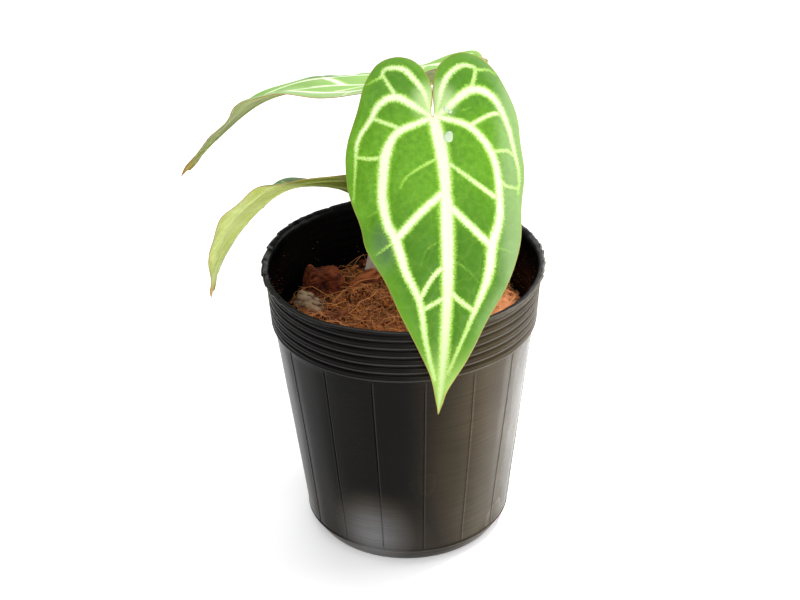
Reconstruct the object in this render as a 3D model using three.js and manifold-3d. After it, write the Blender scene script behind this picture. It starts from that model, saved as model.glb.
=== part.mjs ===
// A young velvet-leaved anthurium hybrid growing in a thin black nursery pot.
// Millimetres, +Z up. The big front leaf faces -Y, and +X is on its right hand side as one looks at it.
// The origin is the middle of the pot's flat underside.
import * as THREE from "three";
import { mergeVertices } from "three/addons/utils/BufferGeometryUtils.js";
import Module from "manifold-3d";

const wasm = await Module();
wasm.setup();

const FULL_TURN = 2 * Math.PI;
const FIT_GAP = 0.35;

// The pot is 12 cm across its lip, the common size of a thin grower's pot.
const POT = {
  lipRadius: 60,
  height: 126.8,
  wall: 1,
  floor: 1.3,
  baseRadius: 40.1,
  seamRadius: 44.4,
  seamHeight: 7.3,
  bandRadius: 55.5,
  bandHeight: 98.6,
  neckRadius: 57.4,
  lipThickness: 1.5,
  rings: 6,
  firstRing: 101.2,
  ringPitch: 4,
  ringDepth: 0.9,
  creases: 16,
  creaseDepth: 0.35,
  firstCrease: THREE.MathUtils.degToRad(-82.2),
  drainHoles: 8,
  drainRadius: 3.5,
  drainCircle: 27,
};

// The mix fills the pot to about 3 cm under the lip, a little higher round the stem.
const MIX = {
  surface: 98,
  mound: 3,
  moundRadius: 22,
  lump: 1.3,
  strands: 36,
  strandWidth: 1,
  crumbs: 14,
  strandReach: 50.5,
  crumbReach: 46,
};

const PALE = 0xb9a487;

// Loose chips of husk and bark: place of the middle, size, and turns about Z, Y and X in degrees.
const CHIPS = [
  { name: "bark_chip_1", at: [-35.5, 26.5, 101.5], size: [16, 13, 13], turn: [12, 14, -8], tone: 0x5a2418 },
  { name: "pale_bark_chip", at: [-40.5, 10.2, 99.6], size: [14, 9, 5.5], turn: [-28, 16, 12], tone: PALE },
  { name: "bark_chip_2", at: [-42, 0.4, 97.2], size: [8, 6.5, 6], turn: [35, -12, 6], tone: 0x6b3420 },
  { name: "bark_chip_3", at: [-31.2, -1.2, 98.2], size: [12.5, 7.5, 5], turn: [-10, -6, 10], tone: 0x8a5340 },
  { name: "bark_chip_4", at: [-17.5, 28.5, 100.6], size: [15, 7.5, 6], turn: [38, -14, -18], tone: 0x7a3f26 },
  { name: "bark_chip_5", at: [31, 30, 99.8], size: [17, 10, 8], turn: [-36, 9, 6], tone: 0x5f2a1b },
  { name: "bark_chip_6", at: [42.5, -14, 98.6], size: [13, 8.5, 6.5], turn: [62, 8, -10], tone: 0x6f3a26 },
  { name: "bark_chip_7", at: [17.5, -35.5, 98.4], size: [14, 10, 6], turn: [20, -8, 9], tone: 0x81492f },
  { name: "bark_chip_8", at: [-16.5, -34.5, 98.6], size: [13, 7.5, 7], turn: [-48, 10, -6], tone: 0x5c2c1d },
  { name: "bark_chip_9", at: [9, 42.5, 99.2], size: [12, 7, 6], turn: [8, 6, 12], tone: 0x74402a },
];

// A plain strip that stands askew in the mix.
const LABEL = {
  width: 9,
  foot: 4,
  above: 46,
  below: 16,
  thickness: 0.9,
  at: [-12.6, 39.5, 99],
  lean: 13,
  turn: 8,
};

// The short stem stands in the mix inside the dry sheaths of older leaves.
const STEM = { foot: [5, 3.5, 81], height: 36, radius: 7.2, sheaths: 4, sides: 14 };
const STALK = { foot: 1.9, middle: 1.45, joint: 2.2, jointLength: 8.5, sides: 8, steps: 16, underBlade: 1 };

// One blade's outline in mm at the front leaf's length: along the midrib from the sinus, then across it.
const BLADE_LENGTH = 120;
const LEFT_MARGIN = [
  [0, 0], [-11, -0.6], [-17, -1.9], [-21.5, -4.5], [-24.8, -9], [-25.6, -15.5], [-23, -22], [-16.5, -26.4],
  [-7, -29.8], [6, -34.2], [17, -36.7], [27, -35.9], [44, -30.6], [53, -28], [67, -20.2], [84, -12.2],
  [100, -4.3], [108, -1.6], [120.5, 0.6],
];
const RIGHT_MARGIN = [
  [0, 0], [-11, 0.5], [-16.5, 1], [-21.5, 3.2], [-25.6, 8], [-26.8, 13.5], [-24, 20.5], [-16, 27.8],
  [-5, 33.5], [8, 35.4], [20, 36.6], [38, 35.2], [54, 33.6], [66, 29.4], [82, 20.4], [98, 12],
  [110, 4.6], [116, 2.5], [120.5, 0.6],
];
const MIDRIB = [[0, 0], [8, 2], [23, 4.2], [57, 4.7], [93, 3.2], [120.5, 0.6]];
const BLADE = {
  thickness: 0.8,
  keel: 0.9,
  puff: 0.7,
  veinShare: 0.6,
  cellLength: 26,
  ripple: 0.6,
  rippleLength: 23,
  lobeRays: 9,
  bodyRays: 18,
  rows: [0, 0.2, 0.4, 0.6, 0.8, 1],
  footPower: 1.25,
};

// How each blade lies: degrees at six stations, from a quarter length behind the sinus to the tip.
// Heading and pitch aim the midrib, roll lifts the right half, fold lifts both halves off the midrib.
// Curl, in degrees per mm across the half, is given at the sinus, the middle and the tip.
const STATIONS = [-0.25, 0, 0.25, 0.5, 0.75, 1];
const LEAVES = {
  front: {
    sinus: [12.7, -19.6, 200.8],
    length: 117.6,
    bow: 1,
    heading: [-90, -90, -90, -91, -92, -94],
    pitch: [-42, -50, -57, -64, -69, -76],
    roll: [0, 0, 0, 0, 0, 0],
    foldRight: [8, 6, 6, 7, 9, 14],
    foldLeft: [8, 6, 6, 7, 9, 14],
    curlRight: [-0.82, -0.8, -1.4],
    curlLeft: [-0.82, -0.8, -1.4],
    stalk: [[6.4, 0.2, 107], [13, -1.5, 128], [18.5, -3, 150], [17, -3, 174]],
  },
  upper: {
    sinus: [12.6, 39.2, 188.9],
    length: 125.3,
    bow: 0,
    heading: [192, 186, 170, 162, 182, 192],
    pitch: [-36, 2, -4, -22, -43, -47],
    roll: [21, 21, 11, 11, 17, 48],
    foldRight: [27, 17, 9, 11, 10, 21],
    foldLeft: [30, 16, 3, 11, 19, 18],
    curlRight: [-0.3, -0.15, -0.56],
    curlLeft: [-0.24, -0.82, -0.24],
    stalk: [[7.6, 6.4, 107], [9.5, 14, 132], [12.5, 27, 158]],
  },
  lower: {
    sinus: [-10.1, 1.5, 153.6],
    length: 104.6,
    bow: 0,
    heading: [187, 169, 159, 181, 181, 156],
    pitch: [24, 21, -7, -42, -59, -81],
    roll: [36, 38, 27, 24, 13, -24],
    foldRight: [17, 12, -1, 12, 24, 21],
    foldLeft: [6, 1, 0, 17, 6, -3],
    curlRight: [0.05, 0, 0.22],
    curlLeft: [-0.76, -0.09, -0.37],
    stalk: [[1.8, 3.6, 107], [-4.5, 0, 121]],
  },
};

const plastic = new THREE.MeshStandardMaterial({ color: 0x0b0b0c, roughness: 0.42, metalness: 0 });
const coir = new THREE.MeshStandardMaterial({ color: 0x9a4f2a, roughness: 0.95, metalness: 0 });
const bladeGreen = new THREE.MeshStandardMaterial({ color: 0x5f9a32, roughness: 0.5, metalness: 0 });
const stalkGreen = new THREE.MeshStandardMaterial({ color: 0x7d8a45, roughness: 0.5, metalness: 0 });
const sheathBrown = new THREE.MeshStandardMaterial({ color: 0x8c7350, roughness: 0.85, metalness: 0 });
const labelWhite = new THREE.MeshStandardMaterial({ color: 0xc9c9c6, roughness: 0.5, metalness: 0 });

// A seeded random number from 0 to 1, the same at every run.
function seeded(seed) {
  let state = seed;
  return () => {
    state = (state + 0x6d2b79f5) | 0;
    let t = Math.imul(state ^ (state >>> 15), 1 | state);
    t = (t + Math.imul(t ^ (t >>> 7), 61 | t)) ^ t;
    return ((t ^ (t >>> 14)) >>> 0) / 2 ** 32;
  };
}

function lerp(a, b, t) {
  return a + (b - a) * t;
}

function indexed(points, triangles) {
  const geometry = new THREE.BufferGeometry();
  geometry.setAttribute("position", new THREE.Float32BufferAttribute(points.flat(), 3));
  geometry.setIndex(triangles.flat());
  return geometry;
}

function toSolid(geometry) {
  const bare = geometry.clone();
  bare.deleteAttribute("normal");
  bare.deleteAttribute("uv");
  const merged = mergeVertices(bare, 1e-4);
  const triVerts = new Uint32Array(merged.index.array);
  const vertProperties = merged.attributes.position.array;
  return new wasm.Manifold(new wasm.Mesh({ numProp: 3, vertProperties, triVerts }));
}

function toGeometry(solid) {
  const mesh = solid.getMesh();
  const geometry = new THREE.BufferGeometry();
  geometry.setAttribute("position", new THREE.Float32BufferAttribute(mesh.vertProperties, 3));
  geometry.setIndex(new THREE.Uint32BufferAttribute(mesh.triVerts, 1));
  return geometry;
}

function joined(first, rest) {
  return rest.reduce((sum, piece) => sum.add(toSolid(piece)), first);
}

function cutBy(first, rest) {
  return rest.reduce((left, piece) => left.subtract(toSolid(piece)), first);
}

// What a cut leaves loose falls away with the smaller bodies.
function largestBody(solid) {
  return solid.decompose().reduce((best, body) => (body.volume() > best.volume() ? body : best));
}

// A solid of revolution with one closed section whose ends lie on the axis.
// place(row, angle) gives a point of it, so a row may be wavy.
function revolve(rows, columns, place) {
  const points = [place(0, 0)];
  for (let row = 1; row < rows - 1; row++) {
    for (let column = 0; column < columns; column++) points.push(place(row, (column / columns) * FULL_TURN));
  }
  points.push(place(rows - 1, 0));
  const last = points.length - 1;
  const at = (row, column) => {
    if (row === 0) return 0;
    if (row === rows - 1) return last;
    return 1 + (row - 1) * columns + (column % columns);
  };
  const triangles = [];
  for (let row = 0; row < rows - 1; row++) {
    for (let column = 0; column < columns; column++) {
      const [a, b] = [at(row, column), at(row, column + 1)];
      const [c, d] = [at(row + 1, column), at(row + 1, column + 1)];
      if (row > 0) triangles.push([a, b, c]);
      if (row < rows - 2) triangles.push([b, d, c]);
    }
  }
  return indexed(points, triangles);
}

// The pot's nominal outer radius at a height, without rings and creases.
function wallRadius(z) {
  if (z < POT.seamHeight) return lerp(POT.baseRadius, POT.seamRadius, Math.max(z, 0) / POT.seamHeight);
  if (z < POT.bandHeight) {
    return lerp(POT.seamRadius, POT.bandRadius, (z - POT.seamHeight) / (POT.bandHeight - POT.seamHeight));
  }
  return lerp(POT.bandRadius, POT.neckRadius, (z - POT.bandHeight) / (POT.height - POT.bandHeight));
}

function makePot() {
  const lipUnder = POT.height - POT.lipThickness;
  const section = [{ r: 0, z: 0 }, { r: POT.baseRadius, z: 0 }];
  section.push({ r: lerp(POT.baseRadius, POT.seamRadius, 0.72), z: POT.seamHeight * 0.4 });
  section.push({ r: POT.seamRadius, z: POT.seamHeight, crease: 0 });
  section.push({ r: wallRadius(POT.seamHeight + 2) + 0.2, z: POT.seamHeight + 2, crease: 1 });
  section.push({ r: wallRadius(POT.bandHeight - 1), z: POT.bandHeight - 1, crease: 1 });
  for (let ring = 0; ring < POT.rings; ring++) {
    const crest = POT.firstRing + ring * POT.ringPitch;
    section.push({ r: wallRadius(crest) + POT.ringDepth, z: crest - 0.9 });
    section.push({ r: wallRadius(crest) + POT.ringDepth * 0.8, z: crest + 1.2 });
    section.push({ r: wallRadius(crest + 2), z: crest + 2 });
  }
  section.push({ r: POT.lipRadius - 0.4, z: lipUnder, lip: 1 });
  section.push({ r: POT.lipRadius, z: lipUnder + 0.6, lip: 1 });
  section.push({ r: POT.lipRadius - 0.5, z: POT.height, lip: 1 });
  section.push({ r: wallRadius(POT.height) - 0.2, z: POT.height - 0.5, lip: 0.5 });
  section.push({ r: wallRadius(lipUnder) - POT.wall, z: lipUnder - 1, lip: 0.2 });
  section.push({ r: wallRadius(POT.bandHeight) - POT.wall, z: POT.bandHeight });
  section.push({ r: wallRadius(POT.seamHeight) - POT.wall, z: POT.seamHeight });
  section.push({ r: POT.baseRadius - POT.wall + 1.2, z: POT.floor });
  section.push({ r: 0, z: POT.floor });
  const place = (row, angle) => {
    const { r, z, lip = 0, crease = 0 } = section[row];
    const turn = ((angle - POT.firstCrease) / FULL_TURN) * POT.creases;
    const nearCrease = Math.max(0, 1 - 4 * Math.abs(turn - Math.round(turn)));
    const crinkle = 0.3 * Math.sin(31 * angle + 1) + 0.25 * Math.sin(23 * angle + 4);
    const wave = 0.45 * Math.sin(3 * angle + 0.6) + 0.35 * Math.sin(7 * angle + 2);
    const radius = r - crease * POT.creaseDepth * nearCrease - lip * Math.abs(crinkle);
    return [radius * Math.cos(angle), radius * Math.sin(angle), z + lip * (wave - 0.8)];
  };
  const columns = POT.creases * 4;
  const shift = POT.firstCrease;
  const shell = revolve(section.length, columns, (row, angle) => place(row, angle + shift));
  const holes = [];
  for (let hole = 0; hole < POT.drainHoles; hole++) {
    const angle = (hole / POT.drainHoles) * FULL_TURN;
    const drill = new THREE.CylinderGeometry(POT.drainRadius, POT.drainRadius, 6, 12);
    drill.rotateX(Math.PI / 2);
    drill.translate(POT.drainCircle * Math.cos(angle), POT.drainCircle * Math.sin(angle), 1);
    holes.push(drill);
  }
  return toGeometry(cutBy(toSolid(shell), holes));
}

// The height of the mix: a mound round the stem and lumps that never repeat in step.
function mixHeight(x, y) {
  const fromStem = Math.hypot(x - STEM.foot[0], y - STEM.foot[1]);
  const mound = MIX.mound * Math.exp(-((fromStem / MIX.moundRadius) ** 2));
  const lumps = Math.sin(x * 0.31 + 1.2) * Math.cos(y * 0.27 + 0.5) + 0.6 * Math.sin(x * 0.52 - y * 0.45 + 2);
  return MIX.surface + mound + MIX.lump * lumps;
}

// A thin curved strand of fibre, an arch whose two ends are sunk in the mix.
function strand(random) {
  const angle = random() * FULL_TURN;
  const radius = MIX.strandReach * Math.sqrt(random());
  const middle = new THREE.Vector2(radius * Math.cos(angle), radius * Math.sin(angle));
  const turn = random() * FULL_TURN;
  const reach = lerp(6, 12, random());
  const bend = lerp(-5, 5, random());
  const rise = lerp(1.2, 4.5, random());
  const along = new THREE.Vector2(Math.cos(turn), Math.sin(turn));
  const across = new THREE.Vector2(-along.y, along.x);
  const points = [-1, -0.5, 0.1, 0.6, 1].map((t) => {
    const spot = middle.clone().addScaledVector(along, reach * t).addScaledVector(across, bend * (1 - t * t));
    spot.clampLength(0, MIX.strandReach);
    const lift = rise * (1 - t * t) - 2.4 * t ** 4 - 0.2;
    return new THREE.Vector3(spot.x, spot.y, mixHeight(spot.x, spot.y) + lift);
  });
  const half = MIX.strandWidth / 2;
  const section = new THREE.Shape([
    new THREE.Vector2(-half, -half),
    new THREE.Vector2(half, -half),
    new THREE.Vector2(0, half),
  ]);
  const path = new THREE.CatmullRomCurve3(points);
  return new THREE.ExtrudeGeometry(section, { steps: 5, bevelEnabled: false, extrudePath: path });
}

// A chip is a box with its corners and faces worn out of true.
function chipGeometry(chip, seed, grow = 0) {
  const random = seeded(seed);
  const geometry = new THREE.BoxGeometry(1, 1, 1, 2, 2, 2);
  geometry.deleteAttribute("normal");
  geometry.deleteAttribute("uv");
  const worn = mergeVertices(geometry);
  const position = worn.attributes.position;
  const [length, width, height] = chip.size.map((side) => side + 2 * grow);
  for (let i = 0; i < position.count; i++) {
    const point = new THREE.Vector3().fromBufferAttribute(position, i);
    const bulge = 1 - 0.16 * (point.lengthSq() - 0.25) * 2;
    point.multiplyScalar(bulge * lerp(0.88, 1.08, random()));
    position.setXYZ(i, point.x * length, point.y * width, point.z * height);
  }
  const [yaw, pitch, roll] = chip.turn.map((degrees) => THREE.MathUtils.degToRad(degrees));
  worn.rotateX(roll);
  worn.rotateY(pitch);
  worn.rotateZ(yaw);
  worn.translate(...chip.at);
  return worn;
}

function crumb(random) {
  const angle = random() * FULL_TURN;
  const radius = MIX.crumbReach * Math.sqrt(random());
  const [x, y] = [radius * Math.cos(angle), radius * Math.sin(angle)];
  const size = lerp(3, 6, random());
  const lump = {
    at: [x, y, mixHeight(x, y) + 0.4],
    size: [size * 1.3, size, size * 0.8],
    turn: [random() * 180, 20, 15],
  };
  return chipGeometry(lump, Math.floor(random() * 1e6));
}

function makeMix(holes) {
  const sides = [0, 0.45, 1].map((t) => lerp(POT.seamHeight, MIX.surface - 2, t));
  const rings = [0.92, 0.8, 0.66, 0.52, 0.38, 0.24, 0.1];
  const section = [{ r: 0, z: POT.floor + FIT_GAP }];
  section.push({ r: POT.baseRadius - POT.wall + 0.7, z: POT.floor + FIT_GAP });
  for (const z of sides) section.push({ r: wallRadius(z) - POT.wall - FIT_GAP, z });
  const edge = section[section.length - 1].r;
  for (const share of rings) section.push({ r: edge * share, top: true });
  section.push({ r: 0, top: true });
  const body = revolve(section.length, 48, (row, angle) => {
    const { r, z, top } = section[row];
    const [x, y] = [r * Math.cos(angle), r * Math.sin(angle)];
    return [x, y, top ? mixHeight(x, y) : z];
  });
  const random = seeded(41);
  const pieces = [];
  for (let i = 0; i < MIX.strands; i++) pieces.push(strand(random));
  for (let i = 0; i < MIX.crumbs; i++) pieces.push(crumb(random));
  return toGeometry(largestBody(cutBy(joined(toSolid(body), pieces), holes)));
}

// The label's outline: a strip with a blunt point that goes into the mix.
function labelGeometry(grow = 0) {
  const half = LABEL.width / 2 + grow;
  const tip = LABEL.foot / 2 + grow;
  const shape = new THREE.Shape([
    new THREE.Vector2(-tip, -LABEL.below - grow),
    new THREE.Vector2(tip, -LABEL.below - grow),
    new THREE.Vector2(half, -LABEL.below * 0.3),
    new THREE.Vector2(half, LABEL.above),
    new THREE.Vector2(-half, LABEL.above),
    new THREE.Vector2(-half, -LABEL.below * 0.3),
  ]);
  const depth = LABEL.thickness + 2 * grow;
  const strip = new THREE.ExtrudeGeometry(shape, { depth, bevelEnabled: false });
  strip.translate(0, 0, -depth / 2);
  strip.rotateX(Math.PI / 2);
  strip.rotateY(THREE.MathUtils.degToRad(LABEL.lean));
  strip.rotateZ(THREE.MathUtils.degToRad(LABEL.turn));
  strip.translate(...LABEL.at);
  return strip;
}

// A curve through values at given places that never swings past them.
function smooth(xs, ys) {
  const count = xs.length;
  const gaps = xs.slice(1).map((x, i) => x - xs[i]);
  const rises = gaps.map((gap, i) => (ys[i + 1] - ys[i]) / gap);
  const slopes = ys.map((_, i) => {
    if (i === 0 || i === count - 1) return 0;
    const [before, after] = [rises[i - 1], rises[i]];
    if (before * after <= 0) return 0;
    const [w1, w2] = [2 * gaps[i] + gaps[i - 1], gaps[i] + 2 * gaps[i - 1]];
    return (w1 + w2) / (w1 / before + w2 / after);
  });
  slopes[0] = endSlope(gaps[0], gaps[1], rises[0], rises[1]);
  slopes[count - 1] = endSlope(gaps[count - 2], gaps[count - 3], rises[count - 2], rises[count - 3]);
  return (x) => {
    const within = Math.min(Math.max(x, xs[0]), xs[count - 1]);
    let i = 0;
    while (i < count - 2 && within > xs[i + 1]) i++;
    const t = (within - xs[i]) / gaps[i];
    const [t2, t3] = [t * t, t * t * t];
    const values = (2 * t3 - 3 * t2 + 1) * ys[i] + (3 * t2 - 2 * t3) * ys[i + 1];
    return values + gaps[i] * ((t3 - 2 * t2 + t) * slopes[i] + (t3 - t2) * slopes[i + 1]);
  };
}

function endSlope(near, far, nearRise, farRise) {
  const slope = ((2 * near + far) * nearRise - near * farRise) / (near + far);
  if (slope * nearRise <= 0) return 0;
  if (nearRise * farRise < 0 && Math.abs(slope) > 3 * Math.abs(nearRise)) return 3 * nearRise;
  return slope;
}

// The blade's own frame: at(s, w) is a point of its middle surface, s mm along and w mm across.
class Blade {
  constructor(leaf) {
    this.leaf = leaf;
    this.scale = leaf.length / BLADE_LENGTH;
    this.midrib = smooth(MIDRIB.map((p) => p[0]), MIDRIB.map((p) => p[1]));
    const spread = ([base, mid, tip]) => [base, base, (base + mid) / 2, mid, (mid + tip) / 2, tip];
    const row = (values) => smooth(STATIONS, values.map((degrees) => THREE.MathUtils.degToRad(degrees)));
    this.heading = row(leaf.heading);
    this.pitch = row(leaf.pitch);
    this.roll = row(leaf.roll);
    this.fold = { 1: row(leaf.foldRight), [-1]: row(leaf.foldLeft) };
    this.curl = { 1: row(spread(leaf.curlRight)), [-1]: row(spread(leaf.curlLeft)) };
    this.step = leaf.length / 200;
    this.start = -60;
    this.line = this.trace();
  }

  along(share) {
    const [h, p] = [this.heading(share), this.pitch(share)];
    return new THREE.Vector3(Math.cos(p) * Math.cos(h), Math.cos(p) * Math.sin(h), Math.sin(p));
  }

  trace() {
    const line = [new THREE.Vector3()];
    for (let i = this.start; i < 204; i++) {
      const share = (i + 0.5) * this.step / this.leaf.length;
      line.push(line[line.length - 1].clone().addScaledVector(this.along(share), this.step));
    }
    const shift = new THREE.Vector3(...this.leaf.sinus).sub(line[-this.start]);
    return line.map((point) => point.add(shift));
  }

  frame(s) {
    const share = s / this.leaf.length;
    const place = Math.min(Math.max(s / this.step - this.start, 0), this.line.length - 1.001);
    const i = Math.floor(place);
    const centre = this.line[i].clone().lerp(this.line[i + 1], place - i);
    const along = this.along(share);
    const [heading, roll] = [this.heading(share), this.roll(share)];
    const level = new THREE.Vector3(-Math.sin(heading), Math.cos(heading), 0);
    const raised = along.clone().cross(level);
    const across = level.clone().multiplyScalar(Math.cos(roll)).addScaledVector(raised, Math.sin(roll));
    const up = raised.clone().multiplyScalar(Math.cos(roll)).addScaledVector(level, -Math.sin(roll));
    return { centre, along, across, up };
  }

  bow(s) {
    return s > 0 ? this.leaf.bow * this.scale * this.midrib(s / this.scale) : 0;
  }

  at(s, w) {
    const { centre, across, up } = this.frame(s);
    const bow = this.bow(s);
    const side = w >= bow ? 1 : -1;
    const share = s / this.leaf.length;
    const fold = this.fold[side](share);
    let curl = this.curl[side](share);
    if (Math.abs(curl) < 1e-7) curl = 1e-7;
    const bent = fold + curl * Math.abs(w - bow);
    const out = (Math.sin(bent) - Math.sin(fold)) / curl;
    const lift = (Math.cos(fold) - Math.cos(bent)) / curl;
    return centre.addScaledVector(across, bow + side * out).addScaledVector(up, lift);
  }
}

// Points of one half's margin, from the slit's mouth round the lobe and down to the tip.
function marginPoints(margin) {
  const curve = new THREE.SplineCurve(margin.map(([s, w]) => new THREE.Vector2(s, w)));
  const slitEnd = 1 / (margin.length - 1);
  const fine = [];
  for (let i = 0; i <= 600; i++) fine.push(curve.getPoint(lerp(slitEnd, 1, i / 600)));
  const back = fine.reduce((best, point, i) => (point.x < fine[best].x ? i : best), 0);
  const lobe = evenly(fine.slice(0, back + 1), BLADE.lobeRays);
  const body = evenly(fine.slice(back), BLADE.bodyRays);
  return { lobe, body };
}

function evenly(points, parts) {
  const reach = [0];
  for (let i = 1; i < points.length; i++) reach.push(reach[i - 1] + points[i].distanceTo(points[i - 1]));
  const total = reach[reach.length - 1];
  const result = [];
  let i = 0;
  for (let part = 0; part <= parts; part++) {
    const goal = (part / parts) * total;
    while (i < reach.length - 2 && reach[i + 1] < goal) i++;
    const t = (goal - reach[i]) / (reach[i + 1] - reach[i]);
    result.push(points[i].clone().lerp(points[i + 1], Math.min(t, 1)));
  }
  return result;
}

// A thin closed blade: rays from the midrib to the margin, split alike on both faces.
function makeBlade(leaf) {
  const blade = new Blade(leaf);
  const [lobeRays, bodyRays, rows] = [BLADE.lobeRays, BLADE.bodyRays, BLADE.rows];
  const middle = [];
  const lift = [];
  const add = (s, w, relief) => {
    middle.push(blade.at(s * blade.scale, w * blade.scale));
    lift.push(relief);
    return middle.length - 1;
  };
  const footAt = (i) => BLADE_LENGTH * (i / bodyRays) ** BLADE.footPower;
  const midribAt = (s) => blade.bow(s * blade.scale) / blade.scale;
  const feet = [];
  for (let i = 0; i < bodyRays; i++) feet.push(add(footAt(i), midribAt(footAt(i)), 0));
  const tip = add(...RIGHT_MARGIN[RIGHT_MARGIN.length - 1], 0);
  const faces = [];
  const edges = [];
  for (const [side, margin] of [[1, RIGHT_MARGIN], [-1, LEFT_MARGIN]]) {
    const { lobe, body } = marginPoints(margin);
    const ends = [...lobe, ...body.slice(1, -1)];
    const rays = ends.map((end, i) => {
      const foot = i <= lobeRays ? 0 : footAt(i - lobeRays);
      const root = i <= lobeRays ? feet[0] : feet[i - lobeRays];
      const footW = midribAt(foot);
      const ray = [root];
      for (const share of rows.slice(1)) {
        const s = lerp(foot, end.x, share);
        const inner = Math.sin((Math.PI * share) / BLADE.veinShare) ** 2;
        const outer = Math.sin((Math.PI * (share - BLADE.veinShare)) / (1 - BLADE.veinShare)) ** 2;
        const cell = share < BLADE.veinShare ? inner : 0.6 * outer;
        const between = 0.4 + 0.6 * Math.sin((Math.PI * s) / BLADE.cellLength) ** 2;
        const wave = BLADE.ripple * share ** 4 * Math.sin((FULL_TURN * s) / BLADE.rippleLength + side);
        ray.push(add(s, lerp(footW, end.y, share), BLADE.puff * cell * between + wave));
      }
      return ray;
    });
    const face = (a, b, c) => {
      if (new Set([a, b, c]).size === 3) faces.push(side > 0 ? [a, b, c] : [a, c, b]);
    };
    for (let i = 0; i < rays.length - 1; i++) {
      for (let j = 0; j < rows.length - 1; j++) {
        const [a, b, c, d] = [rays[i][j], rays[i + 1][j], rays[i + 1][j + 1], rays[i][j + 1]];
        face(a, b, c);
        face(a, c, d);
      }
    }
    const last = rays[rays.length - 1];
    for (let j = 0; j < rows.length - 1; j++) face(last[j], tip, last[j + 1]);
    const edge = [...rays[0], ...rays.slice(1).map((ray) => ray[ray.length - 1]), tip];
    edges.push(edge);
  }
  const rim = [...edges[0], ...edges[1].slice(1, -1).reverse()];
  return thicken(middle, lift, faces, rim, feet);
}

// Two faces, half a thickness above and under the middle surface, and a rim that closes them.
function thicken(middle, lift, faces, rim, feet) {
  const normals = middle.map(() => new THREE.Vector3());
  for (const [a, b, c] of faces) {
    const ab = middle[b].clone().sub(middle[a]);
    const normal = ab.cross(middle[c].clone().sub(middle[a]));
    for (const corner of [a, b, c]) normals[corner].add(normal);
  }
  for (const normal of normals) normal.normalize();
  const half = BLADE.thickness / 2;
  const keel = new Map(feet.map((foot, i) => [foot, BLADE.keel * (1 - i / feet.length)]));
  const over = middle.map((point, i) => point.clone().addScaledVector(normals[i], lift[i] + half));
  const under = middle.map((point, i) => {
    return point.clone().addScaledVector(normals[i], lift[i] - half - (keel.get(i) ?? 0));
  });
  const count = middle.length;
  const triangles = [...faces, ...faces.map(([a, b, c]) => [a + count, c + count, b + count])];
  rim.forEach((a, i) => {
    const b = rim[(i + 1) % rim.length];
    triangles.push([a, b, b + count], [a, b + count, a + count]);
  });
  return indexed([...over, ...under].map((point) => point.toArray()), triangles);
}

// A leaf stalk: a round rod that thickens into a short joint where it meets the blade.
function makeStalk(leaf, grow = 0) {
  const blade = new Blade(leaf);
  const s = STALK.underBlade;
  const { up } = blade.frame(s);
  const seat = blade.at(s, blade.bow(s)).addScaledVector(up, -(BLADE.thickness / 2 + BLADE.keel + FIT_GAP));
  const approach = seat.clone().addScaledVector(up, -STALK.jointLength);
  const lower = leaf.stalk.map((point) => new THREE.Vector3(...point));
  const path = new THREE.CatmullRomCurve3([...lower, approach, seat]);
  const total = path.getLength();
  const joint = 1 - STALK.jointLength / total;
  const radius = smooth(
    [0, 0.2, 0.6, joint - 0.02, joint + 0.03, 0.99, 1],
    [STALK.foot, STALK.middle + 0.1, STALK.middle, STALK.middle, STALK.joint, STALK.joint, STALK.joint * 0.8],
  );
  const frames = path.computeFrenetFrames(STALK.steps, false);
  const points = [];
  for (let step = 0; step <= STALK.steps; step++) {
    const t = step / STALK.steps;
    const centre = path.getPointAt(t).addScaledVector(frames.tangents[step], step === 0 ? -grow : 0);
    for (let side = 0; side < STALK.sides; side++) {
      const angle = (side / STALK.sides) * FULL_TURN;
      const out = frames.normals[step].clone().multiplyScalar(Math.cos(angle));
      out.addScaledVector(frames.binormals[step], Math.sin(angle));
      points.push(centre.clone().addScaledVector(out, radius(t) + grow).toArray());
    }
  }
  points.push(path.getPointAt(0).addScaledVector(frames.tangents[0], -grow).toArray());
  points.push(path.getPointAt(1).addScaledVector(frames.tangents[STALK.steps], 0.01).toArray());
  const triangles = [];
  const at = (step, side) => step * STALK.sides + (side % STALK.sides);
  for (let step = 0; step < STALK.steps; step++) {
    for (let side = 0; side < STALK.sides; side++) {
      const [a, b] = [at(step, side), at(step, side + 1)];
      const [c, d] = [at(step + 1, side), at(step + 1, side + 1)];
      triangles.push([a, b, d], [a, d, c]);
    }
  }
  for (let side = 0; side < STALK.sides; side++) {
    triangles.push([points.length - 2, at(0, side + 1), at(0, side)]);
    triangles.push([points.length - 1, at(STALK.steps, side), at(STALK.steps, side + 1)]);
  }
  return indexed(points, triangles);
}

// The stem as nested sheaths, each a little wider and more askew than the one inside it.
function stemPieces(grow = 0) {
  const pieces = [];
  for (let i = 0; i < STEM.sheaths; i++) {
    const share = i / (STEM.sheaths - 1);
    const height = STEM.height * lerp(1, 0.72, share);
    const radius = STEM.radius * lerp(0.72, 1, share) + grow;
    const sheath = new THREE.CylinderGeometry(radius * 0.8, radius, height + 2 * grow, STEM.sides);
    sheath.rotateX(Math.PI / 2);
    sheath.translate(0, 0, height / 2);
    const lean = THREE.MathUtils.degToRad(2 + 3 * share);
    sheath.rotateX(lean * Math.cos(i * 2.4));
    sheath.rotateY(lean * Math.sin(i * 2.4));
    sheath.translate(...STEM.foot);
    pieces.push(sheath);
  }
  return pieces;
}

function makeStem(stalks) {
  const [core, ...sheaths] = stemPieces();
  return toGeometry(largestBody(cutBy(joined(toSolid(core), sheaths), stalks)));
}

const plant = new THREE.Group();

function addNode(name, geometry, material) {
  const mesh = new THREE.Mesh(geometry, material);
  mesh.name = name;
  plant.add(mesh);
}

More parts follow.
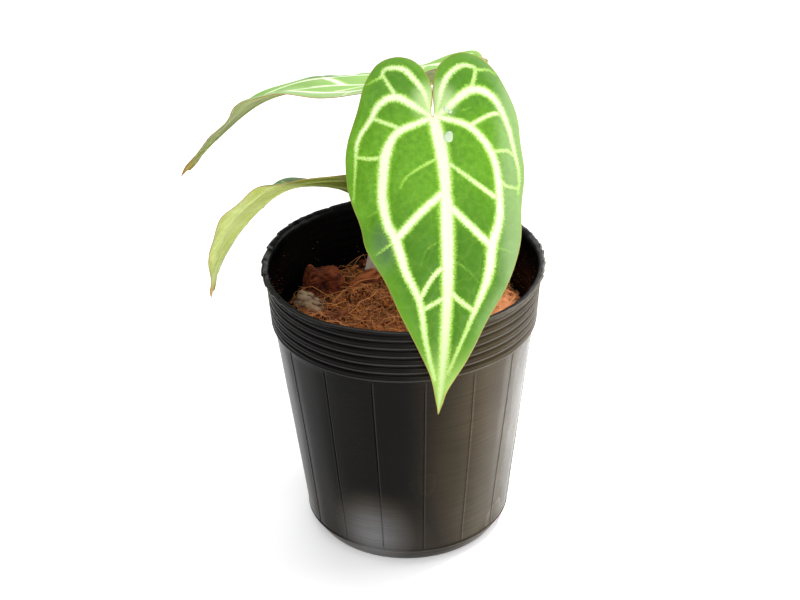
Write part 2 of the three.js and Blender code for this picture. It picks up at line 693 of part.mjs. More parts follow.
const leafNames = Object.keys(LEAVES);
const socketCutters = leafNames.map((name) => makeStalk(LEAVES[name], FIT_GAP));
const chipHoles = CHIPS.map((chip, i) => chipGeometry(chip, i + 1, FIT_GAP));

addNode("pot", makePot(), plastic);
addNode("potting_mix", makeMix([...chipHoles, labelGeometry(FIT_GAP), ...stemPieces(FIT_GAP)]), coir);
CHIPS.forEach((chip, i) => {
  const bark = new THREE.MeshStandardMaterial({ color: chip.tone, roughness: 0.9, metalness: 0 });
  addNode(chip.name, chipGeometry(chip, i + 1), bark);
});
addNode("plant_label", labelGeometry(), labelWhite);
addNode("stem", makeStem(socketCutters), sheathBrown);
for (const name of leafNames) {
  addNode("petiole_" + name, makeStalk(LEAVES[name]), stalkGreen);
  addNode("leaf_" + name, makeBlade(LEAVES[name]), bladeGreen);
}

export default plant;
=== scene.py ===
import math
from functools import partial

import bmesh
import bpy
import numpy as np
from mathutils import Euler, Matrix, Vector, geometry, noise


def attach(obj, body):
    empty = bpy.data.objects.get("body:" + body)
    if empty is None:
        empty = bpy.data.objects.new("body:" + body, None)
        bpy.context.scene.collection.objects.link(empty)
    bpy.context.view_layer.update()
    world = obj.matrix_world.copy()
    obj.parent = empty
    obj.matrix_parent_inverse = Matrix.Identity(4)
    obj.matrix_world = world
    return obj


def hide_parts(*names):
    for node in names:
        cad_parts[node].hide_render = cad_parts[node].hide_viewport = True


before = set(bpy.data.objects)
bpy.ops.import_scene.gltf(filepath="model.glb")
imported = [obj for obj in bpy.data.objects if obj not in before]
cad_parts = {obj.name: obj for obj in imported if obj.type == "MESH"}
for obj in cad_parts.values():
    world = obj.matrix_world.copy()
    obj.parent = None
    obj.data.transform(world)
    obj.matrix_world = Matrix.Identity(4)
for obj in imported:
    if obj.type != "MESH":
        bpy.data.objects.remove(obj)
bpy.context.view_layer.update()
mm = 0.001  # everything below is thought out in millimetres and made in metres
print("frame loaded")

# The nodes used here: Blender's type, fixed settings, the sockets that a list of values fills in order, the output.
kinds = {
    "mix": ("ShaderNodeMix", {"data_type": "RGBA"}, (0, 6, 7), 2),
    "range": ("ShaderNodeMapRange", {}, range(5), 0),  # value, from low, from high, to low, to high
    "ease": ("ShaderNodeMapRange", {"interpolation_type": "SMOOTHSTEP"}, range(5), 0),
    "noise": ("ShaderNodeTexNoise", {}, ("Vector", "Scale", "Detail", "Roughness"), 0),
    "cloud": ("ShaderNodeTexNoise", {}, ("Vector", "Scale", "Detail"), 1),  # noise in three axes at once
    "cells": ("ShaderNodeTexVoronoi", {"feature": "DISTANCE_TO_EDGE"}, ("Vector", "Scale"), 0),
    "bump": ("ShaderNodeBump", {}, ("Height", "Strength", "Distance", "Normal"), 0),
    "attribute": ("ShaderNodeAttribute", {}, (), "Fac"),
    "place": ("ShaderNodeTexCoord", {}, (), "Object"),
    "flatMap": ("ShaderNodeUVMap", {"uv_map": "flat"}, (), 0),
    "axes": ("ShaderNodeSeparateXYZ", {}, (0,), None),
    "joined": ("ShaderNodeCombineXYZ", {}, ("X", "Y", "Z"), 0),
    "stretched": ("ShaderNodeMapping", {}, (0, "Scale"), 0),
    "turned": ("ShaderNodeMapping", {}, (0, "Rotation"), 0),
    "random": ("FunctionNodeRandomValue", {"data_type": "FLOAT"}, (2, 3, 8), 1),
    "randomVector": ("FunctionNodeRandomValue", {"data_type": "FLOAT_VECTOR"}, (0, 1, 8), 0),
    "kept": ("GeometryNodeInputNamedAttribute", {"data_type": "FLOAT"}, ("Name",), 0),
    "stored": ("GeometryNodeStoreNamedAttribute", {"data_type": "FLOAT", "domain": "POINT"},
               ("Geometry", "Name", "Value"), 0),
    "treeInput": ("NodeGroupInput", {}, (), None),
    "treeOutput": ("NodeGroupOutput", {}, (0,), None),
    "multiplyAdd": ("ShaderNodeMath", {"operation": "MULTIPLY_ADD"}, (0, 1, 2), 0),
    "vectorScale": ("ShaderNodeVectorMath", {"operation": "SCALE"}, (0, "Scale"), 0),
    "length": ("ShaderNodeVectorMath", {"operation": "LENGTH"}, (0,), 1),
    "distance": ("ShaderNodeVectorMath", {"operation": "DISTANCE"}, (0, 1), 1),
}
for word in ("add", "subtract", "multiply", "divide", "minimum", "maximum", "power"):
    kinds[word] = ("ShaderNodeMath", {"operation": word.upper()}, (0, 1), 0)
for word in ("add", "subtract", "multiply"):
    kinds["vector" + word.title()] = ("ShaderNodeVectorMath", {"operation": word.upper()}, (0, 1), 0)


def linear(hexText):  # sRGB hex to the linear colour a shader takes
    values = [int(hexText[i:i + 2], 16) / 255 for i in (0, 2, 4)]
    return tuple(v / 12.92 if v <= 0.04045 else ((v + 0.055) / 1.055) ** 2.4 for v in values) + (1.0,)


def fill(node, values):  # links and plain values on a node's own sockets, colours as hex
    for key, value in values.items():
        socket = node.inputs[key]
        if isinstance(value, bpy.types.NodeSocket):
            node.id_data.links.new(value, socket)
        else:
            socket.default_value = linear(value) if socket.type == "RGBA" and isinstance(value, str) else value


def addNode(tree, kind, values=(), **settings):  # one node with its settings, values and links; gives its output
    nodeType, fixed, sockets, output = kinds.get(kind, (kind, {}, (), 0))
    node = tree.nodes.new(nodeType)
    for key, value in {**fixed, **settings}.items():
        setattr(node, key, value)
    fill(node, values if isinstance(values, dict) else dict(zip(sockets, values)))
    return node.outputs if output is None else node.outputs[output]


def newMaterial(name, constants):  # a Principled material, with constants straight on its sockets
    material = bpy.data.materials.new(name)
    material.use_nodes = True
    shader = material.node_tree.nodes["Principled BSDF"]
    fill(shader, constants)
    return material, partial(addNode, material.node_tree), shader


def coats(add, colour, rows):  # colours laid over each other, each as far as a value eases it in
    for *eased, tone in rows:
        colour = add("mix", [add("ease", eased), colour, tone])
    return colour


def perMetre(*sizes):  # how often patterns of these sizes in mm fit in a metre
    return tuple(1000 / size for size in sizes)


def newObject(name, data):
    thing = bpy.data.objects.new(name, data)
    bpy.context.scene.collection.objects.link(thing)
    return thing


def finishMesh(mesh, materials, fields):  # smooth faces, materials, and numbers kept on the points
    for material in materials:
        mesh.materials.append(material)
    for key, values in fields.items():
        mesh.attributes.new(key, "FLOAT", "POINT").data.foreach_set("value", np.asarray(values, np.float32))
    mesh.polygons.foreach_set("use_smooth", np.ones(len(mesh.polygons), bool))
    mesh.update()
    return newObject(mesh.name, mesh)


def makeObject(name, points, faces, materials, fields={}, faceMaterials=None, plane=None):
    mesh = bpy.data.meshes.new(name)
    mesh.from_pydata(np.asarray(points, float).tolist(), [], [list(map(int, f)) for f in faces])
    if faceMaterials is not None:
        mesh.polygons.foreach_set("material_index", np.asarray(faceMaterials, np.int32))
    if plane is not None:  # a UV map that lays the piece flat
        corner = np.zeros(len(mesh.loops), np.int32)
        mesh.loops.foreach_get("vertex_index", corner)
        mesh.uv_layers.new(name="flat").data.foreach_set("uv", np.asarray(plane, np.float32)[corner].ravel())
    return finishMesh(mesh, materials, fields)


def fromBmesh(name, bm, material, fields):
    mesh = bpy.data.meshes.new(name)
    bm.to_mesh(mesh)
    bm.free()
    return finishMesh(mesh, [material], fields)


def ringFaces(first, bands, columns):  # quads between closed rings of points that follow each other
    faces = []
    for a in range(first, first + bands * columns, columns):
        b = a + columns
        faces += [(a + j, a + (j + 1) % columns, b + (j + 1) % columns, b + j) for j in range(columns)]
    return faces


def capFaces(first, columns, tip, flip=False):  # triangles from a closed ring to one point
    pairs = [(first + j, first + (j + 1) % columns) for j in range(columns)]
    return [(b, a, tip) if flip else (a, b, tip) for a, b in pairs]


def settle(piece, slot, *nodes):  # rides on the one body, and stands for CAD nodes where it has them
    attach(piece, "root")
    if nodes:
        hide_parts(*nodes)


def newTree(name, inputs):  # a geometry tree with named inputs, each of its own value's kind
    tree = bpy.data.node_groups.new(name, "GeometryNodeTree")
    for way in ("INPUT", "OUTPUT"):
        tree.interface.new_socket("Geometry", in_out=way, socket_type="NodeSocketGeometry")
    names, words = {}, {float: "Float", int: "Int", type(None): "Material"}
    for key, value in inputs.items():
        socket = tree.interface.new_socket(key, in_out="INPUT", socket_type="NodeSocket" + words[type(value)])
        if value is not None:
            socket.default_value = value
        names[key] = socket.identifier
    add = partial(addNode, tree)
    return tree, names, add, add("treeInput")


def grow(name, source, recipe, material):  # runs a tree on a source mesh and keeps the plain result
    tree, names = recipe
    modifier = source.modifiers.new(name, "NODES")
    modifier.node_group = tree
    for key, value in loose[name].items():
        modifier[names[key]] = value if key == "Seed" else value * (1e6 if key == "Density" else mm)
    modifier[names["Material"]] = material
    graph = bpy.context.evaluated_depsgraph_get()
    made = source.evaluated_get(graph)
    mesh = bpy.data.meshes.new_from_object(made, preserve_all_data_layers=True, depsgraph=graph)
    source.modifiers.remove(modifier)
    mesh.name = name
    settle(newObject(name, mesh), "coir")


def pchip(xs, ys):  # a curve through values at given places that never swings past them
    x, y = np.asarray(xs, float), np.asarray(ys, float)
    gap = np.diff(x)
    rise = np.diff(y) / gap
    slope = np.zeros(len(x))
    for i in range(1, len(x) - 1):
        if rise[i - 1] * rise[i] > 0:
            a, b = 2 * gap[i] + gap[i - 1], gap[i] + 2 * gap[i - 1]
            slope[i] = (a + b) / (a / rise[i - 1] + b / rise[i])
    for end, near, far in ((0, 0, 1), (-1, -1, -2)):
        tilt = ((2 * gap[near] + gap[far]) * rise[near] - gap[near] * rise[far]) / (gap[near] + gap[far])
        if tilt * rise[near] <= 0:
            tilt = 0
        elif rise[near] * rise[far] < 0 and abs(tilt) > 3 * abs(rise[near]):
            tilt = 3 * rise[near]
        slope[end] = tilt

    def value(at):
        within = np.clip(at, x[0], x[-1])
        i = np.clip(np.searchsorted(x, within, side="left") - 1, 0, len(x) - 2)
        t = (within - x[i]) / gap[i]
        flat = (2 * t ** 3 - 3 * t ** 2 + 1) * y[i] + (3 * t ** 2 - 2 * t ** 3) * y[i + 1]
        return flat + gap[i] * ((t ** 3 - 2 * t ** 2 + t) * slope[i] + (t ** 3 - t ** 2) * slope[i + 1])

    return value


def spline(points, count):  # evenly timed points of a smooth curve through all of them
    p = np.asarray(points, float)
    at = np.linspace(0, len(p) - 1, count)
    i = np.minimum(at.astype(int), len(p) - 2)
    t = (at - i)[:, None]
    before, start, end = p[np.maximum(i - 1, 0)], p[i], p[i + 1]
    after = p[np.minimum(i + 2, len(p) - 1)]
    leave, reach = (end - before) / 2, (after - start) / 2
    cubic = (2 * start - 2 * end + leave + reach) * t ** 3
    return cubic + (-3 * start + 3 * end - 2 * leave - reach) * t ** 2 + leave * t + start


def lengths(points):  # how far along a line each of its points is
    return np.concatenate([[0], np.cumsum(np.linalg.norm(np.diff(points, axis=0), axis=1))])


def evenly(points, pitch):  # the same curve with its points a pitch apart
    reach = lengths(points)
    goal = np.linspace(0, reach[-1], max(2, int(round(reach[-1] / pitch)) + 1))
    return np.stack([np.interp(goal, reach, points[:, k]) for k in range(points.shape[1])], axis=1)


def smoothStep(low, high, value):
    t = np.clip((np.asarray(value, float) - low) / (high - low), 0, 1)
    return t * t * (3 - 2 * t)


def grain(points, sizes, seed):  # a noise value from -1 to 1 per point, with a size in mm along each axis
    scaled = np.asarray(points, float) / np.asarray(sizes, float) + seed * 17.3
    return np.array([noise.noise(Vector(p)) for p in scaled])


def turnedTo(place, *turns):  # a matrix that moves to a place in mm after turns in radians about named axes
    matrix = Matrix.Translation(Vector(place))
    for angle, axis in turns:
        matrix = matrix @ Matrix.Rotation(angle, 4, axis)
    return matrix


# Camera: the photograph's angle, with a 90 mm lens, slightly turned about its own line of sight.
camera = {"at": (-1.7, -733.63, 533.79), "down": 30.207, "turn": -1.24, "lens": 90, "sensor": 36, "clip": (0.05, 20)}
eye = newObject("camera", bpy.data.cameras.new("camera"))
eye.data.lens = camera["lens"]
eye.data.sensor_width = camera["sensor"]
eye.data.clip_start, eye.data.clip_end = camera["clip"]
aim = Euler((math.radians(90 - camera["down"]), 0, 0)).to_matrix().to_4x4()
roll = Matrix.Rotation(math.radians(camera["turn"]), 4, "Z")
eye.matrix_world = Matrix.Translation(Vector(camera["at"]) * mm) @ aim @ roll
bpy.context.scene.camera = eye
bpy.context.scene.view_settings.view_transform = "Standard"

# Light: a high-key set, boxes overhead and behind the camera, low ones at the right and in front, one for the far
# floor, and a narrow one that brightens the floor at the right, which the pot's right edge mirrors.
lights = {  # place, what it looks at, width and height in metres, watts, spread in degrees
    "overhead": ((0.05, 0.1, 0.95), (0, 0, 0.1), (0.9, 0.9), 3.8, 180),
    "front": ((-0.15, -0.95, 0.95), (0, 0, 0.1), (0.7, 0.7), 4.4, 180),
    "right": ((0.42, 0.12, 0.34), (0.1, 0.02, 0.03), (0.4, 0.4), 1.6, 180),
    "pool": ((0.22, 0.06, 0.55), (0.13, 0.04, 0), (0.12, 0.12), 0.42, 28),
    "low": ((0.3, -0.75, 0.1), (-0.05, 0, 0.16), (0.4, 0.15), 4.2, 180),
    "back": ((0.0, 1.1, 0.7), (0, 0.7, 0), (1.2, 0.5), 8, 180),
}
for name, (at, look, size, watts, spread) in lights.items():
    lamp = bpy.data.lights.new(name, "AREA")
    lamp.shape = "RECTANGLE"
    lamp.size, lamp.size_y = size
    lamp.energy = watts
    lamp.spread = math.radians(spread)
    towards = (Vector(look) - Vector(at)).to_track_quat("-Z", "Y").to_matrix().to_4x4()
    newObject(name, lamp).matrix_world = Matrix.Translation(Vector(at)) @ towards
world = bpy.data.worlds.new("white room")
world.use_nodes = True
fill(world.node_tree.nodes["Background"], {"Color": (1, 1, 1, 1), "Strength": 0.42})
bpy.context.scene.world = world

# Floor: a plain matt white board, lit a little from below, which thins the shadows.
board, add, shader = newMaterial("matt white board", {
    "Roughness": 0.9, "Specular IOR Level": 0.1, "Base Color": "f6f6f7", "Emission Color": "f6f6f7",
    "Emission Strength": 0.25})
makeObject("floor", [(-6, -6, 0), (6, -6, 0), (6, 6, 0), (-6, 6, 0)], [(0, 1, 2, 3)], [board])
print("camera, light and floor set")

# Pot
pot = {
    "height": 126.8, "wall": 1.0, "floor": 1.3, "baseRadius": 40.1, "seamRadius": 44.4, "seamHeight": 7.3,
    "bandRadius": 55.5, "bandHeight": 98.6, "neckRadius": 57.4, "rings": 6, "firstRing": 101.2, "ringPitch": 4,
    "creases": 16, "firstCrease": -82.2, "creaseDepth": 0.34,
    "drainHoles": 8, "drainRadius": 3.5, "drainCircle": 27, "drainSides": 28,
    "dent": 0.3,  # how far the thin wall wavers
    "nearCrease": [0.1, 0.2, 0.33, 0.5, 0.75, 1.1, 1.7],  # degrees between columns and a crease
}
profile = {  # rows of radius, height, and how much they follow crease, dent and lip; the bead's are rise and radius
    "foot": [(39.4, 0.0, 0, 0, 0), (39.9, 0.12, 0, 0, 0), (40.3, 0.5, 0, 0, 0)],
    "seam": [(44.62, 7.0, 0, 0.2, 0), (44.66, 7.3, 0, 0.2, 0), (44.3, 7.55, 0.2, 0.2, 0), (44.0, 7.8, 0.4, 0.2, 0),
             (44.1, 8.15, 0.6, 0.4, 0), (44.75, 8.5, 0.8, 0.5, 0), (44.85, 9.1, 1, 0.6, 0)],
    "bead": [(-1.15, -0.3), (-0.85, -0.25), (-0.6, 0.2), (-0.35, 0.72), (-0.1, 0.95), (0.15, 0.98), (0.35, 0.82),
             (0.55, 0.5), (0.75, 0.48), (1.05, 0.62), (1.5, 0.7), (2.0, 0.66), (2.35, 0.48), (2.6, 0.1)],
    "lip": [(57.75, 124.25, 0, 0.3, 0.35), (58.35, 124.6, 0, 0.3, 0.6), (59.1, 124.95, 0, 0.2, 0.85),
            (59.7, 125.35, 0, 0, 1), (59.95, 125.8, 0, 0, 1), (60.0, 126.25, 0, 0, 1), (59.8, 126.6, 0, 0, 1),
            (59.45, 126.8, 0, 0, 1), (59.0, 126.75, 0, 0, 1), (58.4, 126.5, 0, 0, 0.9), (57.7, 126.1, 0, 0.1, 0.75),
            (57.1, 125.6, 0, 0.2, 0.55), (56.75, 125.0, 0, 0.3, 0.35), (56.5, 124.2, 0, 0.4, 0.15)],
    "bottom": [(43.2, 7.0, 0, 0, 0), (41.6, 4.0, 0, 0, 0), (40.6, 1.9, 0, 0, 0), (39.9, 1.3, 0, 0, 0)],
}


def wallRadius(z):
    z = np.asarray(z, float)
    low = pot["baseRadius"] + (pot["seamRadius"] - pot["baseRadius"]) * np.clip(z, 0, None) / pot["seamHeight"]
    share = (z - pot["seamHeight"]) / (pot["bandHeight"] - pot["seamHeight"])
    middle = pot["seamRadius"] + (pot["bandRadius"] - pot["seamRadius"]) * share
    share = (z - pot["bandHeight"]) / (pot["height"] - pot["bandHeight"])
    high = pot["bandRadius"] + (pot["neckRadius"] - pot["bandRadius"]) * share
    return np.where(z < pot["seamHeight"], low, np.where(z < pot["bandHeight"], middle, high))


def potAngles():  # columns crowd together at each crease
    sector = 360 / pot["creases"]
    near = [-a for a in pot["nearCrease"][::-1]] + pot["nearCrease"]
    rest = list(np.linspace(2.9, sector - 2.9, 12))
    return np.radians([pot["firstCrease"] + k * sector + a for k in range(pot["creases"]) for a in near + rest])


def potRows():  # the whole outline, up the outside and down the inside
    rows = list(profile["foot"])
    for share in np.linspace(0.12, 0.93, 6):
        rows.append((40.1 + 4.3 * share + 0.25 * math.sin(math.pi * share), 7.3 * share, 0, 0, 0))
    rows += profile["seam"]
    for z in np.linspace(10.5, 98.8, 46):
        rows.append((float(wallRadius(z)) + 0.2 * math.exp(-(z - 9) / 6), z, 1, 1, 0))
    for ring in range(pot["rings"]):
        crest = pot["firstRing"] + ring * pot["ringPitch"]
        for rise, out in profile["bead"]:
            if ring == 0 and rise < -0.5:
                out = 0.05
            if ring == pot["rings"] - 1 and rise > 2.1:
                out = 0.55 - 0.1 * rise
            rows.append((float(wallRadius(crest + rise)) + out, crest + rise, 0, 0.5, 0))
    rows += profile["lip"]
    for z in np.linspace(123.2, 97, 40):
        phase = (z - pot["firstRing"]) / pot["ringPitch"]
        ring = 0.22 * math.exp(-((phase - round(phase)) / 0.16) ** 2) if 99 < z < 123 else 0
        rows.append((float(wallRadius(z)) - pot["wall"] + ring, z, 0, 0.7, 0))
    for z in np.linspace(90, 9, 10):
        rows.append((float(wallRadius(z)) - pot["wall"], z, 0, 0.7, 0))
    return np.array(rows + profile["bottom"])


def lipShape(angle):  # a hand-cut edge: small teeth on the right, longer facets on the left, crinkles between
    turn = np.degrees(angle) % 360
    right = np.clip(1 - np.abs((turn + 180) % 360 - 180) / 34, 0, 1) ** 0.6
    left = np.clip(1 - np.abs(turn - 170) / 62, 0, 1) ** 0.5
    tooth = ((turn / 5.4) % 1) ** 1.4
    facet = ((turn / 9.3 + 0.25 * np.sin(turn / 11)) % 1) ** 0.8
    fine = 0.4 * np.sin(31 * angle + 1) + 0.3 * np.sin(53 * angle + 4) + 0.3 * np.sin(87 * angle)
    inward = 0.75 * right * (1 - tooth) + 0.8 * left * (1 - facet) + 0.12 * np.abs(fine)
    rise = 0.45 * np.sin(3 * angle + 0.6) + 0.35 * np.sin(7 * angle + 2) - 0.75
    return inward, rise + 0.16 * fine + 0.25 * right * (tooth - 0.5)


def buildPot():
    angle, rows = potAngles(), potRows()
    radius, height, crease, dent, lip = [rows[:, k][:, None] for k in range(5)]
    sector = 2 * math.pi / pot["creases"]
    turn = (angle - math.radians(pot["firstCrease"])) / sector
    off = (turn - np.round(turn)) * sector * 50  # mm from the nearest crease
    groove = 0.7 * np.clip(1 - np.abs(off) / 5.5, 0, 1) ** 2 + 1.5 * np.exp(-(off / 0.2) ** 4)
    shoulder = 0.3 * np.exp(-((np.abs(off - 0.1) - 0.55) / 0.22) ** 2)
    soft = np.sin(2 * angle + height / 31 + 1) + 1.1 * np.sin(5 * angle - height / 23 + 2.4)
    soft = soft + 0.5 * np.sin(9 * angle + height / 14) + 0.35 * np.sin(turn * 2 * math.pi + height / 40)
    inward, rise = lipShape(angle)
    r = radius - pot["creaseDepth"] * crease * (groove - shoulder) + pot["dent"] * dent * (soft - 1) / 2 - lip * inward
    z = height + lip * rise
    points = np.stack([r * np.cos(angle), r * np.sin(angle), z + 0 * angle], axis=-1) * mm
    count, bm = len(angle), bmesh.new()
    grid = [[bm.verts.new(place) for place in row] for row in points]
    for low, high in zip(grid, grid[1:]):
        for j in range(count):
            k = (j + 1) % count
            bm.faces.new((low[j], low[k], high[k], high[j]))
    loops, sides = [[], []], pot["drainSides"]
    for hole in range(pot["drainHoles"]):
        middle = 2 * math.pi * hole / pot["drainHoles"]
        rings = []
        for loop, level in zip(loops, (0.0, pot["floor"])):
            ring = []
            for step in range(sides):
                a = 2 * math.pi * step / sides
                x = pot["drainCircle"] * math.cos(middle) + pot["drainRadius"] * math.cos(a)
                y = pot["drainCircle"] * math.sin(middle) + pot["drainRadius"] * math.sin(a)
                ring.append(bm.verts.new((x * mm, y * mm, level * mm)))
            rings.append(ring)
            loop += [bm.edges.new((ring[s], ring[(s + 1) % sides])) for s in range(sides)]
        for s in range(sides):
            t = (s + 1) % sides
            bm.faces.new((rings[0][t], rings[0][s], rings[1][s], rings[1][t]))
    for loop, row in zip(loops, (grid[0], grid[-1])):
        rim = [bm.edges.get((row[j], row[(j + 1) % count])) for j in range(count)]
        bmesh.ops.triangle_fill(bm, edges=rim + loop, use_beauty=True, use_dissolve=False)
    bmesh.ops.recalc_face_normals(bm, faces=bm.faces)
    # painted highlights, with some wear: a light line on each crease's shoulder, on each ring's crest and on the lip's
    # top edge
    half = pot["ringPitch"] / 2
    crest = np.abs((height - pot["firstRing"] + half) % pot["ringPitch"] - half - 0.25) < 0.2
    crest = crest & (height > 100) & (height < 123) & (radius > wallRadius(height) + 0.6)
    edge = (lip > 0.95) & (height > 126.5) & (radius > 59.3)
    wearAndGlint = 0.45 * crease * np.exp(-((off - 0.5) / 0.17) ** 2) + 0.55 * crest + 0.5 * edge
    outer, wearAndPaintedLight = np.zeros((2, len(bm.verts)))
    outer[:count * int(np.argmax(rows[:, 1]))] = 1
    wearAndPaintedLight[:wearAndGlint.size] = wearAndGlint.ravel()
    return fromBmesh("nursery_pot", bm, blackPlastic, {"outer": outer, "wearAndPaintedLight": wearAndPaintedLight})


# Polyethylene, blown thin and drawn off a mould: near black, half gloss, with fine lines round it, a film of dust, and
# painted light on that film and along its ridges.
blackPlastic, add, shader = newMaterial("black polyethylene", {"IOR": 1.5, "Specular IOR Level": 0.06})
spot = add("place")
x, y, z = add("axes", [spot])
outer, wearAndPaintedLight = (add("attribute", attribute_name=key) for key in ("outer", "wearAndPaintedLight"))
lines = add("noise", [add("stretched", [spot, perMetre(45, 45, 0.7)]), 1, 3, 0.6])
lined = add("range", [lines, 0.3, 0.7, 0.75, 1.1])
smear = add("noise", [spot, 1000 / 30, 2, 0.5])
fine = add("noise", [spot, 1000 / 1.4, 2])
low = add("ease", [z, 0.055, 0.0, 0, 0.28])  # dust with a painted reflection of the floor low down, dust and painted light at the right in front, and one painted highlight patch
patch = add("vectorMultiply", [add("vectorSubtract", [spot, (-0.015, -0.042, 0.014)]), perMetre(24, 30, 28)])
paintedHighlightPatch = add("ease", [add("length", [patch]), 0.0, 1.15, 0.9, 0])
rightFront = add("multiply", [add("ease", [x, -0.004, 0.04, 0.03, 0.7]), add("ease", [y, -0.006, 0.03, 1, 0.12])])
dustAndPaintedLight = add("maximum", [add("maximum", [rightFront, low]), paintedHighlightPatch])
dustAndPaintedLight = add("multiply", [dustAndPaintedLight, add("range", [smear, 0.15, 0.85, 0.5, 1])])
dustAndPaintedLight = add("multiply", [add("multiply", [dustAndPaintedLight, lined]), outer], use_clamp=True)
dustAndLightTone = add("mix", [paintedHighlightPatch, add("mix", [low, "5a4e38", "4b4a4a"]), "7a7a7c"])
skin = add("mix", [dustAndPaintedLight, "060607", dustAndLightTone])
# the painted highlight lines' tone, brighter at the right in front
wearAndGlintTone = add("mix", [rightFront, "444445", "8a8478"])
ridge = add("bump", [lines, 0.35, 0.12 * mm])
fill(shader, {"Base Color": add("mix", [add("multiply", [wearAndPaintedLight, lined]), skin, wearAndGlintTone]),
              "Roughness": add("range", [smear, 0.1, 0.9, 0.19, 0.31]),
              "Normal": add("bump", [fine, 0.06, 0.1 * mm, ridge])})
settle(buildPot(), "pot", "pot")
print("pot made")

# Mix
mix = {"surface": 98, "mound": 3, "moundRadius": 22, "lump": 1.3, "stem": (5, 3.5), "gap": 0.4,
       "columns": 300, "rings": 66, "edgeHeight": 96}
loose = {  # pieces per square mm, sizes in mm, and how far out the mix lets them reach
    "coir_fibres": {"Density": 0.46, "Shortest": 4, "Longest": 17, "Radius": 0.13, "Rise": 2.6, "Curl": 6.5,
                    "Reach": 52, "Seed": 7},
    "coir_strands": {"Density": 0.045, "Shortest": 14, "Longest": 34, "Radius": 0.19, "Rise": 5, "Curl": 9,
                     "Reach": 51.5, "Seed": 12},
    "coir_crumbs": {"Density": 0.95, "Smallest": 0.35, "Largest": 1.3, "Seed": 3},
    "coir_specks": {"Density": 0.9, "Smallest": 0.1, "Largest": 0.26, "Seed": 5},
}


def mixHeight(x, y):
    away = np.hypot(x - mix["stem"][0], y - mix["stem"][1])
    mound = mix["mound"] * np.exp(-(away / mix["moundRadius"]) ** 2)
    lumps = np.sin(x * 0.31 + 1.2) * np.cos(y * 0.27 + 0.5) + 0.6 * np.sin(x * 0.52 - y * 0.45 + 2)
    return mix["surface"] + mound + mix["lump"] * lumps


def buildMix():
    columns, rings, height = mix["columns"], mix["rings"], mix["edgeHeight"]
    angle = np.linspace(0, 2 * math.pi, columns, endpoint=False)
    edge = float(wallRadius(height)) - pot["wall"] - mix["gap"]
    bottom = pot["floor"] + 0.35
    points = [(0, 0, bottom)]
    for r, z in ((38.5, bottom), (42.2, 7.5), (float(wallRadius(50)) - 1.4, 50), (edge, height)):
        points += [(r * math.cos(a), r * math.sin(a), z) for a in angle]
    for ring in range(1, rings):
        share = 1 - ring / rings
        r = edge * share
        z = mixHeight(r * np.cos(angle), r * np.sin(angle)) - 1.5 * max(0, (share - 0.97) / 0.03)
        points += list(zip(r * np.cos(angle), r * np.sin(angle), z))
    points.append((0, 0, float(mixHeight(0, 0))))
    points = np.array(points)
    top = np.arange(len(points)) > 4 * columns
    rough = 1.0 * grain(points, (6, 6, 6), 1) + 0.9 * grain(points, (2.4, 2.4, 2.4), 2)
    rough = rough + 0.45 * grain(points, (1.1, 1.1, 1.1), 3)
    away = np.hypot(points[:, 0], points[:, 1])
    points[:, 2] += np.where(top, rough * smoothStep(edge, edge - 3, away), 0)
    last = len(points) - 1
    faces = [(0, b, a) for a, b, _ in capFaces(1, columns, 0)] + ringFaces(1, rings + 2, columns)
    faces += capFaces(last - columns, columns, last)
    return makeObject("coir_bed", points * mm, faces, [coirBed], {"hollow": np.where(top, rough, 0)})


# Coir pith, chopped husk crumbs pressed by hand: matt, rust brown, with painted shade that blackens its hollows and
# painted light that brightens it at the right.
coirBed, add, shader = newMaterial("coir pith", {"Roughness": 0.95, "Specular IOR Level": 0.2})
spot = add("place")
grit = add("noise", [spot, 1000 / 1.6, 6, 0.7])
warm = add("mix", [add("range", [grit, 0.3, 0.7]), "3a1a0b", "9c5228"])
tint = add("mix", [add("noise", [spot, 1000 / 9, 2]), "5e2d17", warm])
# painted shade: near black where the surface sinks into hollows
depth = add("ease", [add("attribute", attribute_name="hollow"), -0.15, 0.8, 0, 1])
# painted light: brighter at the right
bright = coats(add, add("mix", [depth, "140804", tint]), [(add("axes", [spot])["X"], 0.03, 0.042, 0, 0.45, "cf7a48")])
fill(shader, {"Base Color": bright, "Normal": add("bump", [grit, 0.9, 0.6 * mm])})
settle(buildMix(), "coir", "potting_mix")

# Coir fibre, split from the husk and dried: thin, curled, dull gold to rust, with painted light that makes it paler at
# the right.
coirFibre, add, shader = newMaterial("coir fibre", {"Roughness": 0.75, "Specular IOR Level": 0.3})
rustToGold = add("mix", [add("attribute", attribute_name="tone"), "5e270d", "ea9f62"])
right = add("axes", [add("place")])["X"]
# painted light: paler at the right
fill(shader, {"Base Color": coats(add, rustToGold, [(right, 0.03, 0.042, 0, 0.9, "eea873")])})

# Coir crumbs, the same pith broken small: rough, orange to dark red.
coirCrumb, add, shader = newMaterial("coir crumbs", {"Roughness": 0.95, "Specular IOR Level": 0.15})
redToOrange = add("mix", [add("attribute", attribute_name="tone"), "521f0b", "dc864c"])
grit = add("noise", [add("place"), 1000 / 0.8, 3])
fill(shader, {"Base Color": redToOrange, "Normal": add("bump", [grit, 0.7, 0.3 * mm])})


